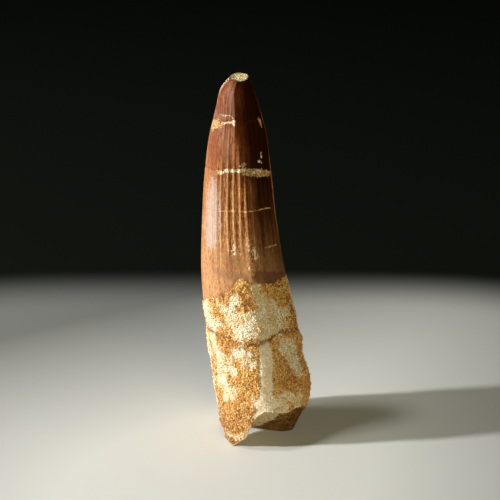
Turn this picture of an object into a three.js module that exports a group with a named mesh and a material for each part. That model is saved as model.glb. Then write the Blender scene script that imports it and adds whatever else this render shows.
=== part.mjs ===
// Fossil spinosaurus tooth, standing on its broken root.
//
// The tooth is one solid: a fluted, slightly curved enamel crown, a rougher root below it, a small chip
// off the tip and a slanted break under the root. It stands on a toe at its front left, a lobe at its
// right and the back of its root.
//
// Units are millimetres. +X is to the viewer's right, +Y is away from the viewer, +Z is up, and the
// surface that the tooth stands on is z = 0. The outline is laid out about an axis of its own, and the
// finished solid is moved sideways so that the origin is under the middle of its bounding box.
import * as THREE from "three";

const { clamp, degToRad, smoothstep } = THREE.MathUtils;

// The body's outline, from the floor to the tip. left and right are the two sides that the viewer sees,
// halfDepth and bow give the section's size and place front to back, keel is how far the front keel
// stands to the right of straight ahead, in degrees, and squareness is the section's superellipse
// exponent.
const STATIONS = [
  { z: 0, left: -9.7, right: 11.7, halfDepth: 14.6, bow: 3.4, keel: 2, squareness: 3.2 },
  { z: 6, left: -10.8, right: 13.8, halfDepth: 14.9, bow: 2.7, keel: 2, squareness: 2.6 },
  { z: 14, left: -11.8, right: 15.5, halfDepth: 14.3, bow: 1.7, keel: 2, squareness: 2.15 },
  { z: 24, left: -13.2, right: 13.2, halfDepth: 12.8, bow: 0.8, keel: 6, squareness: 2.05 },
  { z: 36, left: -14.3, right: 11.2, halfDepth: 11.2, bow: 0.3, keel: 10, squareness: 2 },
  { z: 50, left: -15.1, right: 7.7, halfDepth: 9.6, bow: 0.1, keel: 14, squareness: 2 },
  { z: 64, left: -14.7, right: 5.3, halfDepth: 8.4, bow: -0.1, keel: 14, squareness: 2 },
  { z: 78, left: -13.8, right: 3.7, halfDepth: 7.3, bow: -0.5, keel: 8, squareness: 2 },
  { z: 88, left: -12.5, right: 2.6, halfDepth: 6.5, bow: -0.8, keel: -2, squareness: 2 },
  { z: 96, left: -10.6, right: 0.6, halfDepth: 5.3, bow: -1.2, keel: -7, squareness: 2 },
  { z: 100.6, left: -9.5, right: -0.9, halfDepth: 4.3, bow: -1.5, keel: -8, squareness: 2 },
  { z: 104.4, left: -6.6, right: -2.2, halfDepth: 2.4, bow: -1.8, keel: -8, squareness: 2 },
];

// Where the enamel ends, as heights at equal steps round the tooth, from the right-hand side
// anticlockwise as seen from above: right, back right, back, back left, left, front left, front, front
// right.
const ENAMEL_END = [47.6, 45.5, 44, 42.5, 39.8, 43.5, 49, 47.8];
const ENAMEL_EDGE = 1.5; // the root's relief fades out this far below and above the enamel's end

// The crown's flutes.
const FLUTES = 36;
const FLUTE_HEIGHT = 0.4;
const FLUTE_SHARPNESS = 1.4;
const FLUTE_FADE_LOW = [1, 8]; // above the enamel's end
const FLUTE_FADE_HIGH = [95, 103];
const LABIAL_CALM = 0.45; // share of the flutes' height on the smoother, left side

// The keels down the front and the back. The back one is a share of the front one's height.
const KEEL_CROWN = { height: 0.45, width: degToRad(9) };
const KEEL_ROOT = { height: 0.95, width: degToRad(24) };
const BACK_KEEL_SHARE = 0.5;
const ROOT_FLATS = { count: 4, depth: 0.32 }; // flatter sides, and how far they fall inside the oval

// Cracks round the tooth. swing is how far a crack wanders up and down, and share scales its depth.
const CRACK_WIDTH = 0.8;
const CRACK_REACH = 7; // how far above and below a crack the rows of the skin follow it
const ROOT_CRACK = { z: 31.4, swing: 2.3, depth: 0.55 };
const CROWN_CRACKS = [
  { z: 92.3, swing: 0.5, depth: 0.25 },
  { z: 78.4, swing: 0.8, depth: 0.3 },
];

// Lumps of crust on the root: two sizes of noise, with their cell sizes.
const LUMP_HEIGHT = 0.5;
const LUMP_SIZES = [
  { cell: 5.2, share: 0.7 },
  { cell: 2.6, share: 0.3 },
];

// The break under the root. Its main face falls from the front edge to the floor at slopeFoot, and stops
// on the left at the toe's flank. Two lifts raise its edge at the front right and over the front keel, and
// the notch opens the left-hand side.
const BREAK = { slope: 0.78, slopeFoot: 0.6, flankX: -2.2, flankSoftness: 1.2 };
const LIFTS = [
  { height: 6.4, centre: degToRad(-18), width: degToRad(36), from: 0.7 },
  { height: 1.2, centre: degToRad(-92), width: degToRad(30), from: 0.8 },
];
const NOTCH = { x: -9.5, y: -1.0, alongX: 5.8, alongY: 2.4, height: 3.6 };
const PULP = { x: -2.5, y: 6.8, radius: 3.2, height: 2.8 };
const FLOOR_RELIEF = { base: 0.75, wave: 0.45 };
// The spots where the root touches the surface below it, worn flat.
const CONTACTS = [
  { x: -8.3, y: -8.0, radius: 2.4 },
  { x: 7.0, y: 3.5, radius: 4.0 },
  { x: -3.6, y: 12.0, radius: 3.2 },
];
const CONTACT_BITE = 2.2;

// The chip off the tip: a plane that leans a little towards the viewer.
const TIP = { z: 103.9, x: -4.8, y: -1.8, leanY: 0.19, leanX: 0.03, dish: 0.25 };

// Rows of the skin, as heights up the side. The root's rows have half as many points as the crown's.
const CROWN_POINTS = FLUTES * 4;
const ROOT_ROWS = [
  0, 2, 4, 6, 8, 10, 12, 14, 16.2, 18.4, 20.6, 22.8, 25, 27.2, 29.2, 30.5, 31.4, 32.3, 33.6, 35.6, 37.8, 40,
  42.2, 44.4, 46.6, 48.8, 51,
];
const CROWN_ROWS = [55, 60, 66, 72, 77.3, 78.4, 79.5, 84, 88, 91.2, 92.3, 93.4, 97.5, 101, 103.2, 104.4];
// Rows of the break, as shares of the way out to its edge: with all of the root's points, half and a
// quarter.
const BREAK_MIDDLE = { x: 1.2, y: 2.8 };
const BREAK_ROWS = [[0.94, 0.86, 0.74], [0.6, 0.46], [0.32, 0.17]];
const TIP_ROWS = [0.62, 0.3];
const EDGE_STEPS = 24;
const RIM_BLEND = 20; // below this height the rows close up towards the broken edge
const TIP_BLEND = 99; // above this height they close up towards the chip

/** A station value at a height, on a smooth curve through the stations. */
function stationValue(key, z) {
  const last = STATIONS.length - 2;
  let i = 0;
  while (i < last && STATIONS[i + 1].z < z) i += 1;
  const [before, low, high, after] = [i - 1, i, i + 1, i + 2].map(
    (n) => STATIONS[clamp(n, 0, STATIONS.length - 1)],
  );
  const span = high.z - low.z;
  const t = clamp((z - low.z) / span, 0, 1);
  const lowSlope = ((high[key] - before[key]) / (high.z - before.z)) * span;
  const highSlope = ((after[key] - low[key]) / (after.z - low.z)) * span;
  return (
    low[key] * (2 * t ** 3 - 3 * t ** 2 + 1) +
    lowSlope * (t ** 3 - 2 * t ** 2 + t) +
    high[key] * (3 * t ** 2 - 2 * t ** 3) +
    highSlope * (t ** 3 - t ** 2)
  );
}

/** The height at which the enamel ends at an angle round the tooth. */
function enamelEnd(angle) {
  const count = ENAMEL_END.length;
  const place = (((angle / (2 * Math.PI)) % 1) + 1) * count;
  const i = Math.floor(place);
  return THREE.MathUtils.lerp(
    ENAMEL_END[i % count],
    ENAMEL_END[(i + 1) % count],
    smoothstep(place - i, 0, 1),
  );
}

/** The difference of two angles, from -pi to pi. */
function angleBetween(a, b) {
  return Math.atan2(Math.sin(a - b), Math.cos(a - b));
}

/** A bell of height 1 at 0. */
function bell(distance, width) {
  return Math.exp(-((distance / width) ** 2));
}

/** A number from 0 to 1 that belongs to a cell of space. */
function cellValue(x, y, z) {
  const mixed = Math.sin(x * 127.1 + y * 311.7 + z * 74.7) * 43758.5453;
  return mixed - Math.floor(mixed);
}

/** Smooth noise from -1 to 1, blended from the corners of unit cells. */
function noise(x, y, z) {
  const [i, j, k] = [x, y, z].map(Math.floor);
  const [u, v, w] = [x - i, y - j, z - k].map((t) => t * t * (3 - 2 * t));
  const { lerp } = THREE.MathUtils;
  const edge = (dj, dk) => lerp(cellValue(i, j + dj, k + dk), cellValue(i + 1, j + dj, k + dk), u);
  return 2 * lerp(lerp(edge(0, 0), edge(1, 0), v), lerp(edge(0, 1), edge(1, 1), v), w) - 1;
}

/** The lumps of the root's crust at a place, from -1 to 1. */
function lumps(x, y, z) {
  return LUMP_SIZES.reduce((sum, { cell, share }) => sum + share * noise(x / cell, y / cell, z / cell), 0);
}

/** How high a crack stands at an angle round the tooth. */
function crackHeight(crack, angle) {
  const turn = angle + Math.PI / 2;
  return crack.z + (crack.swing * (Math.sin(2 * turn) + Math.sin(3 * turn))) / 2;
}

/** How far the surface stands out from the plain section at an angle and a height. */
function relief(angle, z, plain) {
  const enamel = smoothstep(z - enamelEnd(angle), -ENAMEL_EDGE, ENAMEL_EDGE);
  const front = angleBetween(angle, degToRad(stationValue("keel", z)) - Math.PI / 2);
  const back = angleBetween(angle, Math.PI / 2);
  const keelHeight = THREE.MathUtils.lerp(KEEL_ROOT.height, KEEL_CROWN.height, enamel);
  const keelWidth = THREE.MathUtils.lerp(KEEL_ROOT.width, KEEL_CROWN.width, enamel);
  const keels = keelHeight * (bell(front, keelWidth) + BACK_KEEL_SHARE * bell(back, keelWidth));
  const flats = ROOT_FLATS.depth * (1 - enamel) * (Math.cos(ROOT_FLATS.count * angle) - 1);

  const calm = THREE.MathUtils.lerp(1, LABIAL_CALM, (1 - Math.cos(angle)) / 2);
  const fluteShare =
    smoothstep(z - enamelEnd(angle), ...FLUTE_FADE_LOW) * (1 - smoothstep(z, ...FLUTE_FADE_HIGH));
  const ridge = (0.5 + 0.5 * Math.cos(FLUTES * angle)) ** FLUTE_SHARPNESS;
  const flutes = FLUTE_HEIGHT * calm * fluteShare * (ridge - 0.5);

  const crust = LUMP_HEIGHT * (1 - enamel) * lumps(plain.x, plain.y, plain.z);
  const cracks = [ROOT_CRACK, ...CROWN_CRACKS].reduce(
    (sum, crack) => sum + crack.depth * bell(z - crackHeight(crack, angle), CRACK_WIDTH),
    0,
  );
  return keels + flats + flutes + crust - cracks;
}

/** A point of the tooth's side. */
function sidePoint(angle, z) {
  const left = stationValue("left", z);
  const right = stationValue("right", z);
  const power = stationValue("squareness", z);
  const c = Math.cos(angle);
  const s = Math.sin(angle);
  const round = (Math.abs(c) ** power + Math.abs(s) ** power) ** (-1 / power);
  const plain = new THREE.Vector3(
    (left + right) / 2 + ((right - left) / 2) * c * round,
    stationValue("bow", z) + stationValue("halfDepth", z) * s * round,
    z,
  );
  const out = relief(angle, z, plain);
  return plain.add(new THREE.Vector3(c, s, 0).multiplyScalar(out));
}

/** The height of the break under the root. reach runs from 0 at its middle to 1 at its edge. */
function breakHeight(x, y, angle, reach) {
  const flank = 1 / (1 + Math.exp(-(x - BREAK.flankX) / BREAK.flankSoftness));
  const face = Math.max(0, BREAK.slope * (BREAK.slopeFoot - y));
  const lift = LIFTS.reduce(
    (sum, { height, centre, width, from }) =>
      sum + height * bell(angleBetween(angle, centre), width) * smoothstep(reach, from, 1),
    0,
  );
  const notch = NOTCH.height * bell(x - NOTCH.x, NOTCH.alongX) * bell(y - NOTCH.y, NOTCH.alongY);
  const pulp = PULP.height * bell(Math.hypot(x - PULP.x, y - PULP.y), PULP.radius);
  const bite = CONTACTS.reduce(
    (sum, spot) => sum + CONTACT_BITE * bell(Math.hypot(x - spot.x, y - spot.y), spot.radius),
    0,
  );
  const rough = FLOOR_RELIEF.base + FLOOR_RELIEF.wave * lumps(x, y, 0);
  return Math.max(0, (face + lift) * flank + notch + pulp + rough - bite);
}

/** The height of the chip off the tip. */
function tipHeight(x, y, reach) {
  return TIP.z + TIP.leanX * (x - TIP.x) + TIP.leanY * (y - TIP.y) - TIP.dish * (1 - reach ** 2);
}

/** The height where the side meets the break or the chip at an angle, found by stepping towards it. */
function edgeHeight(angle, start, heightAt) {
  let z = start;
  for (let i = 0; i < EDGE_STEPS; i += 1) {
    const point = sidePoint(angle, z);
    z = (z + heightAt(point.x, point.y)) / 2;
  }
  return z;
}

/** The angles of a row of points. */
function anglesOf(count) {
  return Array.from({ length: count }, (_, i) => (2 * Math.PI * i) / count);
}

/** The lowest and highest height of the side at each angle. */
function sideEnds(count) {
  return anglesOf(count).map((angle) => ({
    angle,
    rim: edgeHeight(angle, 0, (x, y) => breakHeight(x, y, angle, 1)),
    top: edgeHeight(angle, TIP.z, (x, y) => tipHeight(x, y, 1)),
  }));
}

/** A height moved along with the cracks near it, so that the rows of the skin follow them round the tooth. */
function followed(height, angle) {
  return [ROOT_CRACK, ...CROWN_CRACKS].reduce(
    (sum, crack) => sum + (crackHeight(crack, angle) - crack.z) * bell(height - crack.z, CRACK_REACH),
    height,
  );
}

/** A row of the side, closed up towards the broken edge below and the chip above. */
function sideRow(height, ends) {
  return ends.map(({ angle, rim, top }) => {
    if (height < RIM_BLEND) return sidePoint(angle, rim + (height / RIM_BLEND) * (RIM_BLEND - rim));
    if (height <= TIP_BLEND) return sidePoint(angle, followed(height, angle));
    const share = (height - TIP_BLEND) / (CROWN_ROWS.at(-1) - TIP_BLEND);
    return sidePoint(angle, TIP_BLEND + share * (top - TIP_BLEND));
  });
}

/** A row inside an edge, at a share of the way out to it, with its heights from a function. */
function innerRow(edge, middle, reach, heightAt) {
  const angles = anglesOf(edge.length);
  return edge.map((point, i) => {
    const x = THREE.MathUtils.lerp(middle.x, point.x, reach);
    const y = THREE.MathUtils.lerp(middle.y, point.y, reach);
    return new THREE.Vector3(x, y, heightAt(x, y, angles[i], reach));
  });
}

/** Half of a row's points, for the break, whose rows are smaller. */
function thinned(row) {
  return row.filter((_, i) => i % 2 === 0);
}

/** Triangles between two rows. The upper has as many points as the lower, twice as many, or half as many. */
function stitch(lower, upper) {
  const faces = [];
  const ratio = upper.length / lower.length;
  const at = (row, i) => row[i % row.length];
  if (ratio === 2)
    lower.forEach((_, i) => {
      const [a, b] = [at(lower, i), at(lower, i + 1)];
      const [c, d, e] = [0, 1, 2].map((n) => at(upper, 2 * i + n));
      faces.push([a, d, c], [a, b, d], [b, e, d]);
    });
  else if (ratio === 1)
    lower.forEach((_, i) => {
      const [a, b, c, d] = [at(lower, i), at(lower, i + 1), at(upper, i), at(upper, i + 1)];
      if (i % 2) faces.push([a, b, d], [a, d, c]);
      else faces.push([a, b, c], [b, d, c]);
    });
  else return stitch(upper, lower).map(([a, b, c]) => [a, c, b]);
  return faces;
}

/** Triangles from a middle point to a row. */
function fan(middle, row) {
  return row.map((point, i) => [middle, point, row[(i + 1) % row.length]]);
}

/** A geometry with flat faces, from triangles of points, over the middle of its bounding box. */
function skinned(triangles) {
  const geometry = new THREE.BufferGeometry().setFromPoints(triangles.flat());
  geometry.computeBoundingBox();
  const middle = geometry.boundingBox.getCenter(new THREE.Vector3());
  return geometry.translate(-middle.x, -middle.y, 0);
}

/** The whole tooth's surface, from the middle of the break up its side to the middle of the chip. */
function toothGeometry() {
  const ends = sideEnds(CROWN_POINTS);
  const side = [
    ...ROOT_ROWS.map((height) => sideRow(height, thinned(ends))),
    ...CROWN_ROWS.map((height) => sideRow(height, ends)),
  ];
  const rim = side[0];
  const [full, half, quarter] = BREAK_ROWS.map((reaches) =>
    reaches.map((reach) => innerRow(rim, BREAK_MIDDLE, reach, breakHeight)),
  );
  const under = [...full, ...half.map(thinned), ...quarter.map((row) => thinned(thinned(row)))];
  const { x, y } = BREAK_MIDDLE;
  const underMiddle = new THREE.Vector3(x, y, breakHeight(x, y, 0, 0));

  const top = side.at(-1);
  const cap = TIP_ROWS.map((reach) => innerRow(top, TIP, reach, (x, y) => tipHeight(x, y, reach)));
  const capRows = [thinned(cap[0]), thinned(thinned(cap[1]))];
  const capMiddle = new THREE.Vector3(TIP.x, TIP.y, tipHeight(TIP.x, TIP.y, 0));

  const rows = [...under.reverse(), ...side, ...capRows];
  const triangles = rows.slice(1).flatMap((row, i) => stitch(rows[i], row));
  triangles.push(...fan(underMiddle, rows[0]).map(([a, b, c]) => [a, c, b]));
  triangles.push(...fan(capMiddle, rows.at(-1)));
  return skinned(triangles);
}

const fossil = new THREE.MeshStandardMaterial({ color: 0xa8703c, roughness: 0.55, metalness: 0 });
const geometry = toothGeometry();
geometry.computeVertexNormals();
const tooth = new THREE.Mesh(geometry, fossil);
tooth.name = "tooth";

const specimen = new THREE.Group();
specimen.add(tooth);

export default specimen;
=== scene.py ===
"""The looks of a fossil spinosaurus tooth that stands on its broken root.

The tooth is one closed skin, sculpted by code from a sphere: its outline, flutes, keels, cracks, crust and
break are moved into it in millimetres, and masks of what covers each place are kept in its attributes for
the material. The sand grains that stick to the crust of the root are two more meshes, one of coarse grains
and one of fine ones. Angles go round the tooth in degrees: 0 is its right-hand side, -90 its front, which
faces the camera, 90 its back and 180 its left-hand side.
"""

from __future__ import annotations

import itertools
import logging
import math
from dataclasses import dataclass
from enum import Enum

import bmesh
import bpy
import numpy as np
from mathutils import Matrix, Vector

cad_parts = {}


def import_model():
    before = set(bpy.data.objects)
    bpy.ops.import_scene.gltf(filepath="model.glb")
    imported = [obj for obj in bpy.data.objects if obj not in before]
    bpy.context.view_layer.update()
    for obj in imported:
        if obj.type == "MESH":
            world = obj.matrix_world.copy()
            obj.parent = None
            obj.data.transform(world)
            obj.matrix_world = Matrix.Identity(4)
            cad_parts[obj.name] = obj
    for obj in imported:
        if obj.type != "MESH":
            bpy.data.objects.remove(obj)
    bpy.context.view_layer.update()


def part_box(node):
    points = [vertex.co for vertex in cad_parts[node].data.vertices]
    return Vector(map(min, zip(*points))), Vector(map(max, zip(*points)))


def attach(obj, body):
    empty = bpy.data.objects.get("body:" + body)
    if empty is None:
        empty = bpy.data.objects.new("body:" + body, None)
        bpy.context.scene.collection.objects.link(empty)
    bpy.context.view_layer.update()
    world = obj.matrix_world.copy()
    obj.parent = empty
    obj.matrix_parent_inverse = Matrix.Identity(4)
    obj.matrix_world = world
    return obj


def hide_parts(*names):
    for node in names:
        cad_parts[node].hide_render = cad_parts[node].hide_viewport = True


LOG = logging.getLogger("tooth")
MM = 0.001  # metres in a millimetre
FULL_TURN = 2 * math.pi
FORWARD = -90  # the angle that faces the camera

# An angle in degrees, a height and half a width in millimetres
Place = tuple[float, float, float]
Colour = tuple[float, float, float, float]
Socket = bpy.types.NodeSocket
# What an input of a node can be given
Feed = Socket | bpy.types.Node | float | tuple[float, ...]


def smooth(low: float, high: float, value: np.ndarray) -> np.ndarray:
    """Rises smoothly from 0 at low to 1 at high."""
    share = np.clip((value - low) / (high - low), 0, 1)
    return share * share * (3 - 2 * share)


def bell(distance: np.ndarray, width: float) -> np.ndarray:
    """A bell of height 1 at 0."""
    return np.exp(-((distance / width) ** 2))


def turned(angle: np.ndarray, other: float) -> np.ndarray:
    """The signed difference of two angles in degrees, from -180 to 180."""
    return (angle - other + 180) % 360 - 180


def ring_value(values: tuple[float, ...], angle: np.ndarray) -> np.ndarray:
    """A value that changes smoothly round the tooth.

    Args:
        values: the value at equal steps, from the right-hand side anticlockwise as seen from above.
        angle: angles in degrees.

    Returns:
        The value at each angle.
    """
    count = len(values)
    table = np.array(values)
    place = (angle % 360) / 360 * count
    low = np.floor(place).astype(int)
    share = smooth(0, 1, place - low)
    return table[low % count] * (1 - share) + table[(low + 1) % count] * share


def outward(angle: np.ndarray) -> np.ndarray:
    """Level vectors of length 1 that point out from the tooth's axis, one to a row."""
    turn = np.radians(angle)
    return np.stack([np.cos(turn), np.sin(turn), np.zeros_like(turn)], axis=1)


class Noise:
    """Seeded smooth noise over points in millimetres."""

    table = 256
    gain = 1.7
    layer_shift = 17.3

    def __init__(self, seed: int) -> None:
        """Draws the tables of slopes and spots.

        Args:
            seed: what the draws start from.
        """
        rng = np.random.default_rng(seed)
        self.order = np.tile(rng.permutation(self.table), 2)
        slopes = rng.normal(size=(self.table, 3))
        self.slopes = slopes / np.linalg.norm(slopes, axis=1, keepdims=True)
        self.spots = rng.random((self.table, 3))

    def _cell(self, cell: np.ndarray) -> np.ndarray:
        """The table's entry for each cell of space."""
        x, y, z = (cell.astype(int) % self.table).T
        return self.order[self.order[self.order[x] + y] + z]

    def waves(self, points: np.ndarray, cell: float) -> np.ndarray:
        """Smooth noise.

        Args:
            points: places in millimetres, one to a row.
            cell: how large its features are.

        Returns:
            A value for each place, from about -1 to 1.
        """
        scaled = points / cell
        home = np.floor(scaled)
        part = scaled - home
        fade = part**3 * (part * (part * 6 - 15) + 10)
        total = np.zeros(len(points))
        for corner in itertools.product((0, 1), repeat=3):
            slope = self.slopes[self._cell(home + corner)]
            weight = np.prod(np.where(corner, fade, 1 - fade), axis=1)
            total += weight * np.einsum("ij,ij->i", slope, part - corner)
        return self.gain * total

    def rough(self, points: np.ndarray, cell: float, layers: int = 3) -> np.ndarray:
        """Layers of waves, each half as large and half as high as the one before."""
        return sum(self.waves(points + self.layer_shift * n, cell / 2**n) / 2**n for n in range(layers))

    def pebbles(self, points: np.ndarray, cell: float) -> np.ndarray:
        """Rounded bumps, one to a cell.

        Args:
            points: places in millimetres, one to a row.
            cell: how far apart the bumps are.

        Returns:
            A value for each place: 1 at the middle of a bump, falling to 0 between them.
        """
        scaled = points / cell
        home = np.floor(scaled)
        nearest = np.full(len(points), np.inf)
        for offset in itertools.product((-1, 0, 1), repeat=3):
            cells = home + offset
            away = np.linalg.norm(scaled - cells - self.spots[self._cell(cells)], axis=1)
            nearest = np.minimum(nearest, away)
        return np.clip(1 - nearest, 0, 1)


@dataclass(frozen=True)
class Station:
    """The tooth's outline at one height, in millimetres.

    keel is how far the front keel lies to the right of straight ahead, in degrees.
    """

    z: float
    left: float
    right: float
    half_depth: float
    bow: float
    keel: float
    squareness: float


@dataclass(frozen=True)
class Outline:
    """The plain form of the tooth: an oval section that changes from the floor to the tip."""

    stations: tuple[Station, ...] = (
        Station(0, -9.7, 11.7, 14.6, 3.4, 2, 3.2),
        Station(6, -10.8, 13.8, 14.9, 2.7, 2, 2.6),
        Station(14, -11.8, 15.5, 14.3, 1.7, 2, 2.15),
        Station(24, -13.2, 13.2, 12.8, 0.8, 6, 2.05),
        Station(36, -14.3, 11.2, 11.2, 0.3, 10, 2),
        Station(50, -15.1, 7.7, 9.6, 0.1, 14, 2),
        Station(64, -14.7, 5.3, 8.4, -0.1, 14, 2),
        Station(78, -13.8, 3.7, 7.3, -0.5, 8, 2),
        Station(88, -12.5, 2.6, 6.5, -0.8, -2, 2),
        Station(96, -10.6, 0.6, 5.3, -1.2, -7, 2),
        Station(100.6, -9.5, -0.9, 4.3, -1.5, -8, 2),
        Station(104.4, -6.6, -2.2, 2.4, -1.8, -8, 2),
    )

    def value(self, name: str, z: np.ndarray) -> np.ndarray:
        """One of the stations' values, on a smooth curve through the stations.

        Args:
            name: the value's name.
            z: heights in millimetres.

        Returns:
            The value at each height.
        """
        heights = np.array([station.z for station in self.stations])
        values = np.array([getattr(station, name) for station in self.stations], dtype=float)
        last = len(heights) - 1
        low = np.clip(np.searchsorted(heights, z, side="left") - 1, 0, last - 1)
        before, high, after = np.maximum(low - 1, 0), low + 1, np.minimum(low + 2, last)
        span = heights[high] - heights[low]
        t = np.clip((z - heights[low]) / span, 0, 1)
        low_slope = (values[high] - values[before]) / (heights[high] - heights[before]) * span
        high_slope = (values[after] - values[low]) / (heights[after] - heights[low]) * span
        return (
            values[low] * (2 * t**3 - 3 * t**2 + 1)
            + low_slope * (t**3 - 2 * t**2 + t)
            + values[high] * (3 * t**2 - 2 * t**3)
            + high_slope * (t**3 - t**2)
        )

    def radius(self, z: np.ndarray) -> np.ndarray:
        """The mean of the section's half width and half depth at each height."""
        return (self.value("right", z) - self.value("left", z)) / 4 + self.value("half_depth", z) / 2

    def plain(self, angle: np.ndarray, z: np.ndarray) -> np.ndarray:
        """The plain section.

        Args:
            angle: angles in degrees.
            z: heights in millimetres.

        Returns:
            The point at each angle and height, one to a row.
        """
        left, right = self.value("left", z), self.value("right", z)
        power = self.value("squareness", z)
        c, s = np.cos(np.radians(angle)), np.sin(np.radians(angle))
        bulge = (np.abs(c) ** power + np.abs(s) ** power) ** (-1 / power)
        x = (left + right) / 2 + (right - left) / 2 * c * bulge
        y = self.value("bow", z) + self.value("half_depth", z) * s * bulge
        return np.stack([x, y, z], axis=1)


@dataclass(frozen=True)
class Flutes:
    """The lengthwise ridges of the crown. Their crests lie at set angles, and the left ones are calmer."""

    crests: tuple[float, ...] = (
        -168, -157, -146, -136, -127.5, -119.5, -107, -96, -86.5, -77.5, -67, -56, -43.5, -34, -23, -12, -1,
        9, 20, 31, 41, 52, 62, 72, 83, 95, 106, 116, 127, 138, 148, 159, 170, 181,
    )
    height: float = 0.4
    sharpness: float = 3.0
    wander: float = 0.11
    wander_radius: float = 9.0
    wander_length: float = 7.0
    wander_size: float = 2.6
    unevenness: tuple[float, float] = (0.5, 1.7)
    left_share: float = 0.14
    left_fade: tuple[float, float] = (112, 134)
    low_fade: tuple[float, float] = (4, 17)
    mid_fade: tuple[float, float] = (77, 84)
    mid_share: float = 0.42
    high_fade: tuple[float, float] = (94, 102)

    def share(self, angle: np.ndarray, z: np.ndarray, above: np.ndarray) -> np.ndarray:
        """How much of the flutes' height is there.

        Args:
            angle: angles in degrees.
            z: heights in millimetres.
            above: the heights over the enamel's end.

        Returns:
            A share from 0 to 1 for each place.
        """
        calm = smooth(*self.left_fade, np.abs(turned(angle, 0)))
        fades = smooth(*self.low_fade, above) * (1 - smooth(*self.high_fade, z))
        fades = fades * (1 - (1 - self.mid_share) * smooth(*self.mid_fade, z))
        return fades * (1 - calm * (1 - self.left_share))

    def ridge(self, angle: np.ndarray, z: np.ndarray, noise: Noise) -> np.ndarray:
        """The ridges' form.

        Args:
            angle: angles in degrees.
            z: heights in millimetres.
            noise: what makes them wander and rise unevenly.

        Returns:
            A value for each place, from -0.5 in the valleys to 0.5 on the crests.
        """
        place = outward(angle) * self.wander_radius
        place[:, 2] = z / self.wander_length
        around = (angle - self.crests[0]) % 360 + self.crests[0]
        turn = np.interp(around, (*self.crests, self.crests[0] + 360), np.arange(len(self.crests) + 1))
        phase = FULL_TURN * (turn + self.wander * noise.waves(place, self.wander_size))
        most, size = self.unevenness
        tall = 1 + most * noise.waves(place + 40, size)
        return ((0.5 + 0.5 * np.cos(phase)) ** self.sharpness - 0.5) * tall


@dataclass(frozen=True)
class Crack:
    """A crack round the tooth, given by its heights at equal steps round it.

    Pale mineral fills it over part of the way round. filled is the middle and the width of that part, in
    degrees.
    """

    heights: tuple[float, ...]
    width: float
    depth: float
    wobble: float = 0.35
    wobble_size: float = 3.0
    filled: tuple[float, float] = (0, 0)
    fill_fade: float = 4.0

    def distance(self, angle: np.ndarray, z: np.ndarray, noise: Noise, points: np.ndarray) -> np.ndarray:
        """How far below or above the crack each place is, in millimetres."""
        return z - ring_value(self.heights, angle) - self.wobble * noise.rough(points, self.wobble_size)

    def vein(self, angle: np.ndarray) -> np.ndarray:
        """How much pale mineral fills the crack at each angle."""
        middle, half = self.filled[0], self.filled[1] / 2
        return 1 - smooth(half - self.fill_fade, half + self.fill_fade, np.abs(turned(angle, middle)))


class Cover(Enum):
    """What covers a place of the tooth. The value is the name of the mask in the skin's attributes."""

    CREAM = "cream"
    GOLD = "gold"
    RUST = "rust"
    BEIGE = "beige"
    SCAR = "scar"
    TAN = "tan"
    HAZE = "haze"
    # Greyish patches; those near the tip are painted sheen
    GREY_AND_SHEEN = "grey_and_sheen"
    RED = "red"
    # Glossy places; a painted sheen is also laid on them
    GLOSS_AND_SHEEN = "gloss"
    # Dark brown marks, and painted shade down the root's right edge and partly under the toe
    SOIL_AND_SHADE = "soil_and_shade"
    # Partly the enamel's own dark brown, partly painted shade on the side away from the lamps
    DARK = "dark"

    @property
    def sway(self) -> float:
        """How far noise bends the cover's strokes, in millimetres. The crown's stay where they are drawn."""
        return {"cream": 0.8, "gold": 0.8, "rust": 0.8, "beige": 0.25}.get(self.value, 0.0)


@dataclass(frozen=True)
class Stroke:
    """A stroke of a cover from place to place."""

    places: tuple[Place, ...]

    def inside(self, angle: np.ndarray, z: np.ndarray, arc: np.ndarray) -> np.ndarray:
        """How deep inside the stroke points are.

        Args:
            angle: the points' angles in degrees.
            z: their heights in millimetres.
            arc: the millimetres in a degree at each point.

        Returns:
            Millimetres from the stroke's edge, less than 0 outside it.
        """
        stops = self.places if len(self.places) > 1 else self.places * 2
        deepest = np.full(len(z), -np.inf)
        for (first, low, half), (second, high, other) in itertools.pairwise(stops):
            across, along = turned(angle, first) * arc, z - low
            to_across, to_along = turned(np.array(second), first) * arc, high - low
            length = np.maximum(to_across**2 + to_along**2, 1e-9)
            share = np.clip((across * to_across + along * to_along) / length, 0, 1)
            away = np.hypot(across - share * to_across, along - share * to_along)
            deepest = np.maximum(deepest, half + (other - half) * share - away)
        return deepest
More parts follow.
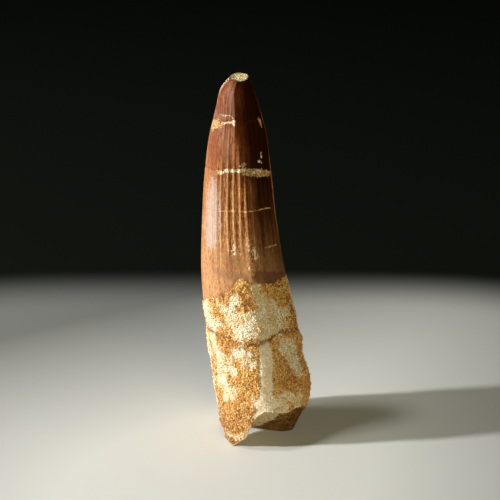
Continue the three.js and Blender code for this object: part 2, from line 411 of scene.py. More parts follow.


# Where each cover lies on the side that faces the camera
STROKES: dict[Cover, tuple[tuple[Place, ...], ...]] = {
    Cover.CREAM: (
        ((-165, 43.0, 0.8), (-161, 40.4, 1.9), (-158, 37.2, 2.3), (-157, 34.2, 2.3), (-156, 31.6, 1.5)),
        ((-171, 30.5, 1.2), (-171, 26.5, 1.5), (-172, 21.0, 1.4), (-172, 15.0, 1.2), (-173, 10.0, 0.9)),
        ((-147, 36.5, 0.82), (-131, 36.0, 0.68)),
        (
            (-106, 44.2, 0.96), (-110, 41.8, 1.4), (-113, 38.2, 1.9), (-103, 36.7, 2.3), (-107, 33.5, 1.9),
            (-104, 31.7, 0.82),
        ),
        ((-98, 39.7, 1.2), (-89, 38.0, 2), (-91, 35.4, 1.6)),
        ((-75, 47.9, 0.68), (-71, 44.8, 1.2), (-67, 42.1, 2), (-52, 40.0, 2), (-31, 38.4, 1.4)),
        ((-77, 40.0, 1.8), (-66, 36.4, 1.9), (-47, 36.7, 1.9), (-25, 38.9, 1.1)),
        ((-78, 34.5, 1.2), (-60, 34.8, 1.4), (-45, 34.8, 1.2)),
        ((-146, 28.8, 1.3), (-141, 26.4, 2.2), (-141, 22.9, 2.2), (-144, 19.9, 1.7)),
        ((-128, 25.3, 1.2), (-121, 23.3, 1.1)),
        ((-148, 17.7, 1.7), (-133, 17.2, 2.1), (-140, 13.9, 1.4)),
        ((-115, 28.2, 0.96), (-103, 29.9, 0.96), (-95, 28.6, 1.1), (-94, 26.6, 0.82)),
        ((-104, 27.1, 0.68),),
        ((-49, 30.6, 1.5), (-38, 27.8, 2.5), (-32, 24.4, 2.1), (-27, 21.4, 1.3)),
        ((-31, 29.5, 1.1),),
        (
            (-94, 14.8, 1.4), (-84, 14.9, 1.4), (-73, 14.9, 1.5), (-60, 15.2, 1.6), (-48, 14.8, 1.4),
            (-41, 12.8, 0.82),
        ),
        ((-73, 12.3, 1.2), (-59, 12.6, 1.1)),
        ((-139, 2.6, 0.2), (-123, 3.3, 0.25), (-113, 4.8, 0.3)),
        ((-133, 42.2, 0.82), (-126, 40.6, 0.82)),
    ),
    Cover.BEIGE: (
        ((-72, 14.6, 1.0), (-84, 14.2, 1.6), (-98, 10.8, 1.0)),
        (
            (-76, 32.0, 1.1), (-76, 29.8, 1.8), (-77, 26.1, 1.9), (-79, 22.4, 1.8), (-82, 19.1, 1.6),
            (-88, 16.3, 1.6), (-94, 14.0, 1.4),
        ),
    ),
    Cover.GOLD: (
        ((-100, 48.9, 0.96), (-90, 49.7, 1.2), (-83, 48.4, 1.1)),
        ((-98, 47.4, 0.96), (-88, 47.3, 0.68)),
        ((-57, 46.8, 0.68), (-44, 47.1, 1.1), (-29, 47.0, 1.2), (-20, 44.6, 1.1)),
        ((-49, 44.8, 0.96), (-39, 43.3, 0.96), (-30, 42.2, 0.82)),
        ((-65, 30.5, 0.82), (-63, 26.7, 1.2), (-64, 23.4, 1.4), (-71, 20.1, 1.2), (-77, 17.4, 0.96)),
        ((-145, 40.8, 0.82), (-135, 39.2, 0.82), (-130, 37.2, 0.68)),
        ((-121, 11.0, 1.1), (-110, 14.0, 0.96)),
        ((-135, 4.2, 1.2), (-118, 6.7, 0.82)),
        ((-110, 23.6, 1.1), (-101, 22.9, 1.1), (-106, 19.2, 1.4)),
    ),
    Cover.RUST: (
        ((-119, 46.2, 0.82), (-130, 43.2, 0.96), (-118, 44.2, 0.82)),
        ((-115, 42.7, 0.82), (-112, 40.8, 0.68)),
        ((-96, 46.1, 1.1), (-89, 45.4, 1.5), (-85, 45.4, 1.2)),
        ((-89, 43.8, 1.2), (-89, 41.6, 1.1), (-93, 39.9, 0.55)),
        (
            (-143, 32.3, 0.96), (-131, 31.1, 1.1), (-124, 29.8, 0.96), (-110, 30.8, 0.96), (-98, 31.6, 1.1),
            (-90, 33.5, 0.96),
        ),
        ((-89, 36.3, 0.82), (-87, 34.3, 0.68)),
        ((-85, 32.5, 0.55), (-71, 33.4, 0.55), (-54, 34.0, 0.6), (-35, 33.5, 0.68)),
        ((-73, 39.4, 0.71), (-66, 38.3, 0.6)),
        ((-35, 36.7, 0.82), (-38, 34.7, 0.82)),
        ((-20, 36.7, 0.82), (-19, 33.1, 0.82), (-17, 30.0, 0.55)),
        ((-22, 46.2, 0.55), (-17, 42.9, 0.82), (-20, 39.9, 0.71)),
        ((-170, 29.7, 0.55), (-163, 27.1, 0.6)),
        ((-64, 31.9, 0.68), (-64, 29.1, 0.55)),
        ((-52, 28.0, 0.82), (-48, 26.3, 0.68)),
        ((-44, 23.4, 0.82), (-40, 20.4, 1.5), (-30, 18.3, 1.1), (-30, 16.0, 0.82)),
        ((-57, 19.2, 1.1), (-46, 17.1, 1.1)),
        ((-165, 11.2, 0.96), (-161, 7.9, 1.4), (-149, 4.9, 1.2)),
        ((-128, 15.4, 0.82), (-113, 15.8, 0.82)),
    ),
    # The crown's darker right-hand side, away from the lamps: partly its own brown, partly painted shade
    Cover.DARK: (
        (
            (0, 101, 6.6), (0, 96, 8.1), (0, 92, 10.2), (0, 88, 10.8), (0, 80, 11.0), (0, 75, 10.2),
            (0, 66, 11.4), (0, 58, 12.4), (0, 50, 13),
        ),
    ),
    Cover.TAN: (
        ((-179, 91.0, 0.82), (-147, 91.7, 1.1), (-129, 92.1, 0.71)),
        ((-177, 91.7, 0.55), (-158, 90.3, 0.55)),
        ((-79, 79.7, 0.87), (-63, 79.2, 1), (-43, 78.7, 1), (-13, 77.6, 0.71)),
        ((-30, 93.0, 0.38), (-24, 91.2, 0.41)),
        ((-83, 53.8, 0.27), (-79, 52.9, 0.33)),
        ((-75, 54.5, 0.14), (-75, 53.1, 0.22), (-75, 51.5, 0.19)),
    ),
    Cover.SCAR: (
        ((-124, 92.4, 0.19), (-108, 92.8, 0.25), (-98, 93.1, 0.38)),
        ((-99, 92.3, 0.27),),
        ((-125, 79.0, 0.33), (-117, 79.2, 0.33)),
        ((-113, 79.8, 0.44), (-100, 80.0, 0.46)),
        ((-94, 79.9, 0.36), (-79, 80.2, 0.49)),
        ((-59, 79.3, 0.22), (-60, 78.6, 0.22)),
        ((-52, 79.7, 0.25), (-41, 79.2, 0.25)),
        ((-47, 82.0, 0.36),),
        ((-41, 81.5, 0.27),),
        ((-40, 84.1, 0.19), (-40, 82.8, 0.22)),
        ((-86, 81.3, 0.11), (-81, 81.7, 0.14), (-77, 82.1, 0.11)),
        ((-81, 81.0, 0.11), (-73, 81.7, 0.082)),
        (
            (-140, 94.6, 0.06), (-129, 94.3, 0.06), (-115, 94.6, 0.06), (-106, 94.4, 0.082),
            (-100, 93.9, 0.082),
        ),
    ),
    Cover.HAZE: (
        ((-98, 59.2, 0.71), (-97, 57.0, 0.82)),
        ((-71, 58.1, 0.82), (-69, 56.0, 0.87)),
        ((-77, 60.9, 0.27), (-77, 58.2, 0.33)),
    ),
    # Greyish patches: the upper four, near the tip, are painted sheen; the lower two the enamel's own colour
    Cover.GREY_AND_SHEEN: (
        ((-167, 93.6, 0.66), (-131, 93.9, 0.71), (-106, 93.9, 0.44)),
        ((-127, 90.6, 0.71), (-107, 90.9, 0.66)),
        ((-125, 102.6, 0.77), (-108, 98.9, 0.93), (-107, 95.3, 0.93)),
        ((-116, 89.4, 0.93), (-111, 85.8, 1.1), (-109, 82.1, 0.87)),
        ((-126, 51.7, 1.1), (-110, 51.0, 1.4), (-94, 50.7, 1.1), (-84, 50.5, 0.82)),
        ((-105, 56.3, 0.82), (-95, 54.8, 1.1)),
    ),
    Cover.RED: (
        ((-162, 101.4, 0.71), (-155, 98.3, 0.87), (-148, 95.7, 0.77)),
        ((-147, 88.2, 1.1), (-138, 84.6, 1.4), (-138, 81.3, 0.96)),
    ),
    # The glossy stripe on the crown's left flank, where a pale painted sheen is also laid
    Cover.GLOSS_AND_SHEEN: (
        ((-137, 76, 1.2), (-137, 71, 2.3), (-138, 65, 3.0), (-139, 60, 2.6)),
    ),
    # Dark brown marks, and painted shade down the root's right edge and partly under the toe
    Cover.SOIL_AND_SHADE: (
        ((-68, 50.7, 1.5), (-52, 49.7, 1.8), (-29, 47.9, 2.3)),
        ((-14, 42, 1.4), (-15, 38.5, 1.9), (-16, 35.8, 2.0), (-16, 32.9, 1.4)),
        ((-150, 0.4, 1.2), (-130, 0.8, 1.4), (-117, 1.4, 1.1)),
        ((-77, 57.6, 0.082), (-75, 56.2, 0.11), (-74, 54.8, 0.11)),
        ((-89, 77.4, 0.22), (-86, 76.6, 0.16)),
        ((-85, 75.7, 0.25),),
        ((-75, 77.8, 0.25), (-78, 77.1, 0.16)),
        ((-107, 77.9, 0.27), (-100, 77.8, 0.22)),
    ),
}


@dataclass(frozen=True)
class Guess:
    """How a cover lies on the side that isn't seen: patches of noise, as millimetres inside them."""

    cover: Cover
    level: float
    swing: float
    size: float
    shift: float
    layers: int = 3

    def field(self, noise: Noise, place: np.ndarray) -> np.ndarray:
        """How deep inside a patch each place is, in millimetres."""
        return self.level + self.swing * noise.rough(place + self.shift, self.size, self.layers)


@dataclass(frozen=True)
class Break:
    """The slanted break under the root, in millimetres.

    lifts are raised stretches of its edge: how high, at which angle, how wide in degrees, and how far out
    they start. notch is its place, its width each way and its height. pulp is the opening in the middle: its
    place, its radius and its height. contacts are the rubbed spots that the tooth rests on: their places and
    radii.
    """

    slope: float = 0.78
    slope_foot: float = 0.6
    flank_x: float = -2.2
    flank_softness: float = 1.2
    lifts: tuple[tuple[float, float, float, float], ...] = ((6.4, -18, 36, 0.7), (1.2, -92, 30, 0.8))
    notch: tuple[float, float, float, float, float] = (-9.5, -1.0, 5.8, 2.4, 2.8)
    pulp: tuple[float, float, float, float] = (-2.5, 6.8, 3.2, 2.8)
    floor_base: float = 0.75
    contacts: tuple[tuple[float, float, float], ...] = (
        (-8.3, -8.0, 2.4),
        (7.0, 3.5, 4.0),
        (-3.6, 12.0, 3.2),
    )
    contact_bite: float = 2.2
    middle: tuple[float, float] = (1.2, 2.8)
    waviness: tuple[float, float] = (0.4, 5.0)
    grit: tuple[float, float] = (0.5, 2.0)

    def height(
        self, x: np.ndarray, y: np.ndarray, angle: np.ndarray, reach: np.ndarray, noise: Noise
    ) -> np.ndarray:
        """The height of the break.

        Args:
            x: places to the right, in millimetres.
            y: how far back they are.
            angle: their angles round the tooth, in degrees.
            reach: how far out they are, from 0 at the middle of the break to 1 at its edge.
            noise: what roughens it.

        Returns:
            The height at each place, never under the floor.
        """
        flank = 1 / (1 + np.exp(-(x - self.flank_x) / self.flank_softness))
        face = np.maximum(0, self.slope * (self.slope_foot - y))
        lift = np.zeros_like(face)
        for high, middle, wide, start in self.lifts:
            lift += high * bell(turned(angle, middle), wide) * smooth(start, 1, reach)
        notch_x, notch_y, along_x, along_y, deep = self.notch
        notch = deep * bell(x - notch_x, along_x) * bell(y - notch_y, along_y)
        pulp_x, pulp_y, pulp_radius, pulp_height = self.pulp
        pulp = pulp_height * bell(np.hypot(x - pulp_x, y - pulp_y), pulp_radius)
        bite = np.zeros_like(face)
        for spot_x, spot_y, radius in self.contacts:
            bite += self.contact_bite * bell(np.hypot(x - spot_x, y - spot_y), radius)
        flat = np.stack([x, y, np.zeros_like(x)], axis=1)
        high, size = self.waviness
        rough = self.floor_base + high * noise.waves(flat, size)
        high, size = self.grit
        fine = high * noise.rough(flat + 60, size) * smooth(0.1, 1.2, face + lift + notch + pulp)
        return np.maximum(0, (face + lift) * flank + notch + pulp + rough + fine - bite)


@dataclass(frozen=True)
class TipChip:
    """The small chip off the tip: a plane that leans towards the viewer."""

    z: float = 103.9
    x: float = -4.8
    y: float = -1.8
    lean_y: float = 0.19
    lean_x: float = 0.03
    dish: float = 0.25
    grit: tuple[float, float] = (0.16, 1.6)

    def height(self, x: np.ndarray, y: np.ndarray, reach: np.ndarray, noise: Noise) -> np.ndarray:
        """The height of the chip.

        Args:
            x: places to the right, in millimetres.
            y: how far back they are.
            reach: how far out they are, from 0 at the middle of the chip to 1 at its edge.
            noise: what roughens it.

        Returns:
            The height at each place.
        """
        plane = self.z + self.lean_x * (x - self.x) + self.lean_y * (y - self.y) - self.dish * (1 - reach**2)
        high, size = self.grit
        return plane + high * noise.rough(np.stack([x, y, np.zeros_like(x)], axis=1), size)


@dataclass(frozen=True)
class Form:
    """The shape of the tooth's side: where each angle and height lies, and what covers it.

    enamel_end holds heights at equal steps round the tooth, from its right-hand side anticlockwise as seen
    from above. A keel is its height and its width in degrees. The root's flats are how many and how deep.
    A pair of lumps, pebbles, sand, pits, scar or polish is a height and the size of its features. back_beige
    is the angle, the height and half the width of a beige streak at the back, which narrows by its taper.
    """

    enamel_end: tuple[float, ...] = (47.6, 45.5, 44.0, 42.5, 39.8, 43.5, 49.0, 47.8)
    enamel_end_ragged: tuple[float, float] = (0.9, 4.0)
    keel_crown: tuple[float, float] = (0.5, 7.5)
    keel_root: tuple[float, float] = (0.95, 24.0)
    back_keel_share: float = 0.5
    root_flats: tuple[int, float] = (4, 0.32)
    lumps: tuple[float, float] = (0.34, 5.2)
    gold_thick: float = 0.16
    cream_thick: float = 0.1
    beige_thick: float = 0.06
    pebbles: tuple[float, float] = (0.36, 0.95)
    sand: tuple[float, float] = (0.28, 1.3)
    pits: tuple[float, float] = (0.35, 1.6)
    root_inset: float = 0.42
    scar: tuple[float, float] = (0.14, 1.1)
    polish: tuple[float, float] = (0.02, 0.9)
    bend_sizes: tuple[float, float] = (4.0, 3.6)
    gap_unevenness: tuple[float, float] = (0.5, 6.0)
    gap_mean: float = 0.75
    far: float = 6.0
    wide_crack: float = 0.3
    seen_middle: float = -95.0
    seen_edge: tuple[float, float] = (78, 96)
    cracks: tuple[Crack, ...] = (
        Crack((31.4, 31.0, 31.5, 32.2, 32.6, 32.6, 31.8, 34.1), width=0.4, depth=0.34),
        Crack((92.6, 92.2, 92.0, 92.0, 92.2, 92.4, 92.7, 93.0), width=0.22, depth=0.12, wobble=0.2),
        Crack((78.2, 78.0, 78.4, 79.0, 79.4, 79.5, 80.0, 78.6), 0.3, 0.2, wobble=0.25, filled=(-96, 70)),
        Crack((67.6, 68.0, 68.4, 68.2, 68.2, 68.6, 68.8, 68.9), 0.16, 0.07, wobble=0.25, filled=(-75, 100)),
        Crack((57.6, 57.8, 58.0, 58.0, 57.8, 57.6, 57.8, 58.2), 0.16, 0.04, wobble=0.15, filled=(-36, 26)),
    )
    guesses: tuple[Guess, ...] = (
        Guess(Cover.CREAM, 0.2, 3.4, 9.0, 11),
        Guess(Cover.GOLD, -0.9, 3.0, 7.0, 31),
        Guess(Cover.RUST, -0.7, 3.0, 8.0, 51),
        Guess(Cover.GLOSS_AND_SHEEN, -1.0, 2.0, 14.0, 61, layers=1),
        Guess(Cover.DARK, -2.4, 4.0, 16.0, 81, layers=1),
    )
    back_beige: Place = (84, 24, 1.6)
    back_beige_taper: float = 0.16
    outline: Outline = Outline()
    flutes: Flutes = Flutes()
    noise: Noise = Noise(11)
    fine: Noise = Noise(23)

    def masks(self, angle: np.ndarray, z: np.ndarray) -> dict[str, np.ndarray]:
        """What covers each place of the side.

        Args:
            angle: angles in degrees.
            z: heights in millimetres.

        Returns:
            The masks by name, each the millimetres that a place lies inside what it stands for. enamel is
            the height over the enamel's end and crack the height over the nearest crack. vein is how much
            mineral fills that crack and open how open it is, both from 0 to 1. crest is the flutes' form
            from -1 to 1.
        """
        place = self.outline.plain(angle, z)
        arc = np.radians(1) * self.outline.radius(z)
        ragged, size = self.enamel_end_ragged
        above = z - ring_value(self.enamel_end, angle) - ragged * self.noise.rough(place, size)
        fields = self._covers(angle, z, arc, place)
        found = {cover.value: np.clip(field, -self.far, self.far) for cover, field in fields.items()}
        found["enamel"] = np.clip(above, -self.far, self.far)
        away = np.array([crack.distance(angle, z, self.noise, place) for crack in self.cracks])
        nearest = np.abs(away).argmin(axis=0)
        each = np.arange(len(z))
        found["crack"] = np.clip(away[nearest, each], -self.far, self.far)
        found["vein"] = np.array([crack.vein(angle) for crack in self.cracks])[nearest, each]
        found["open"] = np.array([min(1.0, crack.depth / self.wide_crack) for crack in self.cracks])[nearest]
        found["crest"] = 2 * self.flutes.ridge(angle, z, self.noise) * self.flutes.share(angle, z, above)
        return found

    def _covers(
        self, angle: np.ndarray, z: np.ndarray, arc: np.ndarray, place: np.ndarray
    ) -> dict[Cover, np.ndarray]:
        """The covers, from their strokes where the tooth is seen and from the guesses where it isn't.

        Args:
            angle: angles in degrees.
            z: heights in millimetres.
            arc: the millimetres in a degree at each place.
            place: the points of the plain section.

        Returns:
            How deep inside each cover the places are, in millimetres.
        """
        size_across, size_up = self.bend_sizes
        bend_across, bend_up = self.noise.waves(place, size_across), self.noise.waves(place + 90, size_up)
        fields = {cover: np.full(len(z), -self.far) for cover in Cover}
        for cover, strokes in STROKES.items():
            across, up = angle + cover.sway * bend_across / arc, z + cover.sway * bend_up
            for places in strokes:
                fields[cover] = np.maximum(fields[cover], Stroke(places).inside(across, up, arc))
        hidden = smooth(*self.seen_edge, np.abs(turned(angle, self.seen_middle)))
        guessed = {guess.cover: guess.field(self.noise, place) for guess in self.guesses}
        middle, height, half = self.back_beige
        narrowed = half - np.abs(turned(angle, middle)) * arc - self.back_beige_taper * np.abs(z - height)
        guessed[Cover.BEIGE] = narrowed + self.noise.waves(place, 5.0)
        for cover, field in guessed.items():
            fields[cover] = fields[cover] * (1 - hidden) + field * hidden
        return fields

    def relief(self, angle: np.ndarray, z: np.ndarray, masks: dict[str, np.ndarray]) -> np.ndarray:
        """How far the surface stands out from the plain section.

        Args:
            angle: angles in degrees.
            z: heights in millimetres.
            masks: what covers the places.

        Returns:
            Millimetres at each place.
        """
        place = self.outline.plain(angle, z)
        enamel = smooth(-1.5, 1.5, masks["enamel"])
        flutes = self.flutes.height * masks["crest"] / 2
        scar = smooth(-0.15, 0.2, np.maximum(masks["scar"], masks["tan"]))
        deep, size = self.scar
        hollow = scar * (deep + deep * self.fine.rough(place, size, 2))
        high, size = self.polish
        skin = high * self.fine.rough(place, size, 2) * smooth(0, 1, masks["enamel"])
        gaps = sum(c.depth * bell(c.distance(angle, z, self.noise, place), c.width) for c in self.cracks)
        most, size = self.gap_unevenness
        gaps = gaps * (self.gap_mean + most * self.noise.waves(place, size))
        out = self._keels(angle, z, enamel) + flutes + self._crust(place, masks, enamel)
        return out + skin - hollow - gaps

    def _keels(self, angle: np.ndarray, z: np.ndarray, enamel: np.ndarray) -> np.ndarray:
        """The two keels and the root's flatter sides.

        Args:
            angle: angles in degrees.
            z: heights in millimetres.
            enamel: the share of enamel at each place.

        Returns:
            How far they stand out at each place, in millimetres.
        """
        front = turned(angle, 0) - self.outline.value("keel", z) - FORWARD
        high = self.keel_root[0] * (1 - enamel) + self.keel_crown[0] * enamel
        wide = self.keel_root[1] * (1 - enamel) + self.keel_crown[1] * enamel
        keels = high * (bell(front, wide) + self.back_keel_share * bell(turned(angle, -FORWARD), wide))
        count, deep = self.root_flats
        return keels + deep * (1 - enamel) * (np.cos(count * np.radians(angle)) - 1)

    def _crust(self, place: np.ndarray, masks: dict[str, np.ndarray], enamel: np.ndarray) -> np.ndarray:
        """The root's crust, with its lumps, pebbles, sand and pits.

        Args:
            place: the points of the plain section.
            masks: what covers them.
            enamel: the share of enamel at each.

        Returns:
            How far it stands out at each place, in millimetres.
        """
        root = 1 - smooth(-0.6, 0.25, masks["enamel"])
        cream = smooth(-0.3, 0.5, masks["cream"])
        gold = smooth(-0.2, 0.6, masks["gold"])
        bare = 1 - smooth(-0.4, 0.3, masks["beige"])
        beige = smooth(-0.2, 0.6, masks["beige"])
        thick = self.gold_thick * gold + self.cream_thick * cream + self.beige_thick * beige
        pebbles = self.pebbles[0] * self.fine.pebbles(place, self.pebbles[1])
        sand = bare * (pebbles + self.sand[0] * self.fine.rough(place, self.sand[1], 2))
        pits = self.pits[0] * smooth(0.45, 0.75, self.noise.waves(place + 33, self.pits[1])) * bare
        lumps = self.lumps[0] * self.noise.rough(place, self.lumps[1])
        crust = lumps * (1 - enamel) + (thick + sand * (1 + 0.5 * gold - 0.5 * cream) - pits) * root
        return crust - self.root_inset * (1 - enamel)

    def side(self, angle: np.ndarray, z: np.ndarray) -> np.ndarray:
        """Points of the tooth's side at angles in degrees and heights, one to a row."""
        out = self.relief(angle, z, self.masks(angle, z))
        return self.outline.plain(angle, z) + outward(angle) * out[:, None]


@dataclass(frozen=True)
class Tooth:
    """The tooth's skin: a sphere's rows, shared out over the break, the side and the tip's chip.

    lip is an upright plane: how far it faces left and forward, and how far out it stands. Beyond it, at the
    toe, the break is pale.
    pale_edge is how many rows above the broken edge its painted highlight lies, and how many it spreads
    over.
    edge_seen is the middle of the side on which that highlight shows, and the degrees over which it ends.
    """

    segments: int = 280
    break_rows: int = 38
    side_rows: int = 295
    tip_rows: int = 7
    rim_blend: float = 20.0
    tip_blend: float = 99.0
    top: float = 104.4
    edge_steps: int = 24
    lip: tuple[float, float, float] = (0.79, 0.61, 1.7)
    pale_edge: tuple[float, float] = (0.4, 1.5)
    edge_seen: tuple[float, float, float] = (-85, 60, 80)
    streak_radius: float = 10.0
    form: Form = Form()
    fracture: Break = Break()
    chip: TipChip = TipChip()
    rough: Noise = Noise(5)

    def _edges(self, angles: np.ndarray) -> tuple[np.ndarray, np.ndarray]:
        """Where the side meets the break and the chip, found by stepping to them.

        Args:
            angles: angles in degrees.

        Returns:
            The heights of the broken edge and of the chip's edge at each angle.
        """
        rim = np.zeros_like(angles)
        top = np.full_like(angles, self.chip.z)
        whole = np.ones_like(angles)
        for _ in range(self.edge_steps):
            low, high = self.form.side(angles, rim), self.form.side(angles, top)
            rim = (rim + self.fracture.height(low[:, 0], low[:, 1], angles, whole, self.rough)) / 2
            top = (top + self.chip.height(high[:, 0], high[:, 1], whole, self.rough)) / 2
        return rim, top

    def _side_heights(self, share: np.ndarray, rim: np.ndarray, top: np.ndarray) -> np.ndarray:
        """Heights of the side's rows, closed up towards the broken edge below and the chip above.

        Args:
            share: how far up the side each row is, from 0 to 1.
            rim: the height of the broken edge.
            top: the height of the chip's edge.

        Returns:
            The height of each point.
        """
        plain = share * self.top
        low = rim + plain / self.rim_blend * (self.rim_blend - rim)
        risen = (plain - self.tip_blend) / (self.top - self.tip_blend)
        high = self.tip_blend + risen * (top - self.tip_blend)
        return np.where(plain < self.rim_blend, low, np.where(plain > self.tip_blend, high, plain))

    def build(self) -> bpy.types.Object:
        """Makes the skin and its masks.

        Returns:
            The tooth, standing where the frame's node stands.
        """
        rows = self.break_rows + self.side_rows + self.tip_rows
        bm = bmesh.new()
        bmesh.ops.create_uvsphere(bm, u_segments=self.segments, v_segments=rows, radius=1)
        mesh = new_mesh("tooth_skin", bm)
        ball = read_points(mesh)
        step = FULL_TURN / self.segments
        spoke = np.rint(np.arctan2(ball[:, 1], ball[:, 0]) / step).astype(int) % self.segments
        row = np.rint((1 - np.arccos(np.clip(ball[:, 2], -1, 1)) / math.pi) * rows)
        angles = np.degrees(np.arange(self.segments) * step)
        rim, top = self._edges(angles)

        angle = angles[spoke]
        share = np.clip((row - self.break_rows) / self.side_rows, 0, 1)
        z = self._side_heights(share, rim[spoke], top[spoke])
        masks = self.form.masks(angle, z)
        out = self.form.relief(angle, z, masks)
        points = self.form.outline.plain(angle, z) + outward(angle) * out[:, None]
        low_reach = np.clip(row / self.break_rows, 0, 1)
        high_reach = np.clip((rows - row) / self.tip_rows, 0, 1)
        self._lay_break(points, angle, low_reach, self.form.side(angles, rim)[spoke])
        self._lay_chip(points, high_reach, self.form.side(angles, top)[spoke])

        masks["broken"] = (low_reach < 1) * 1.0
        masks["chipped"] = (high_reach < 1) * 1.0
        masks["reach"] = low_reach
        left, forward, offset = self.lip
        beyond = -left * points[:, 0] - forward * points[:, 1] - offset
        masks["lip"] = np.clip(beyond, -self.form.far, self.form.far)
        # The broken edge's pale line is a painted highlight, kept to the side that faces the camera
        middle, *ends = self.edge_seen
        seen = 1 - smooth(*ends, np.abs(turned(angle, middle)))
        masks["edge"] = bell(row - self.break_rows - self.pale_edge[0], self.pale_edge[1]) * seen
        write_points(mesh, points * MM)
        for name, values in masks.items():
            write_mask(mesh, name, values)
        around = outward(angle) * self.streak_radius
        around[:, 2] = points[:, 2]
        mesh.attributes.new("around", "FLOAT_VECTOR", "POINT").data.foreach_set("vector", around.ravel())
        mesh.shade_smooth()
        tooth = new_object("fossil_tooth", mesh)
        self._stand(mesh)
        LOG.info("tooth skin: %d faces", len(mesh.polygons))
        return tooth

    def _lay_break(self, points: np.ndarray, angle: np.ndarray, reach: np.ndarray, edge: np.ndarray) -> None:
        """Lays the points of the underside on the break.

        Args:
            points: the skin's points, which this changes.
            angle: their angles in degrees.
            reach: how far out they are, from 0 at the middle of the break to 1 at its edge.
            edge: the point of the edge at each one's angle.
        """
        x, y = between(self.fracture.middle, edge, reach)
        z = self.fracture.height(x, y, angle, reach, self.rough)
        points[reach < 1] = np.stack([x, y, z], axis=1)[reach < 1]

    def _lay_chip(self, points: np.ndarray, reach: np.ndarray, edge: np.ndarray) -> None:
        """Lays the points of the tip on the chip.

        Args:
            points: the skin's points, which this changes.
            reach: how far out they are, from 0 at the middle of the chip to 1 at its edge.
            edge: the point of the edge at each one's angle.
        """
        x, y = between((self.chip.x, self.chip.y), edge, reach)
        z = self.chip.height(x, y, reach, self.rough)
        points[reach < 1] = np.stack([x, y, z], axis=1)[reach < 1]

    def _stand(self, mesh: bpy.types.Mesh) -> None:
        """Moves the skin so that its middle and its foot are where the frame's node has them.

        Args:
            mesh: the skin.
        """
        points = read_points(mesh)
        low, high = (np.array(corner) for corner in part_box("tooth"))
        shift = (low + high) / 2 - (points.min(axis=0) + points.max(axis=0)) / 2
        shift[2] = low[2] - points[:, 2].min()
        write_points(mesh, points + shift)


def between(
    middle: tuple[float, float], edge: np.ndarray, reach: np.ndarray
) -> tuple[np.ndarray, np.ndarray]:
    """Places a share of the way from a middle to an edge, as their x and their y."""
    return middle[0] + (edge[:, 0] - middle[0]) * reach, middle[1] + (edge[:, 1] - middle[1]) * reach


def new_mesh(name: str, bm: bmesh.types.BMesh) -> bpy.types.Mesh:
    """Turns a bmesh into a mesh, and frees it.

    Args:
        name: the mesh's name.
        bm: the bmesh.

    Returns:
        The mesh.
    """
    mesh = bpy.data.meshes.new(name)
    bm.to_mesh(mesh)
    bm.free()
    return mesh


def new_object(name: str, data: bpy.types.ID) -> bpy.types.Object:
    """Puts an object with some data into the scene.

    Args:
        name: the object's name.
        data: its mesh, camera or light.

    Returns:
        The object.
    """
    made = bpy.data.objects.new(name, data)
    bpy.context.scene.collection.objects.link(made)
    return made


def read_points(mesh: bpy.types.Mesh) -> np.ndarray:
    """Reads a mesh's points.

    Args:
        mesh: the mesh.

    Returns:
        Its points, one to a row.
    """
    flat = np.empty(len(mesh.vertices) * 3)
    mesh.vertices.foreach_get("co", flat)
    return flat.reshape(-1, 3)


def write_points(mesh: bpy.types.Mesh, points: np.ndarray) -> None:
    """Moves a mesh's points."""
    mesh.vertices.foreach_set("co", points.ravel())
    mesh.update()


def write_mask(mesh: bpy.types.Mesh, name: str, values: np.ndarray) -> None:
    """Keeps a value for each point of a mesh under a name that its material reads."""
    mesh.attributes.new(name, "FLOAT", "POINT").data.foreach_set("value", values.astype(np.float32))


def read_mask(mesh: bpy.types.Mesh, name: str) -> np.ndarray:
    """Reads a mask.

    Args:
        mesh: the mesh that keeps it.
        name: its name.

    Returns:
        Its value at each point.
    """
    values = np.empty(len(mesh.vertices), dtype=np.float32)
    mesh.attributes[name].data.foreach_get("value", values)
    return values


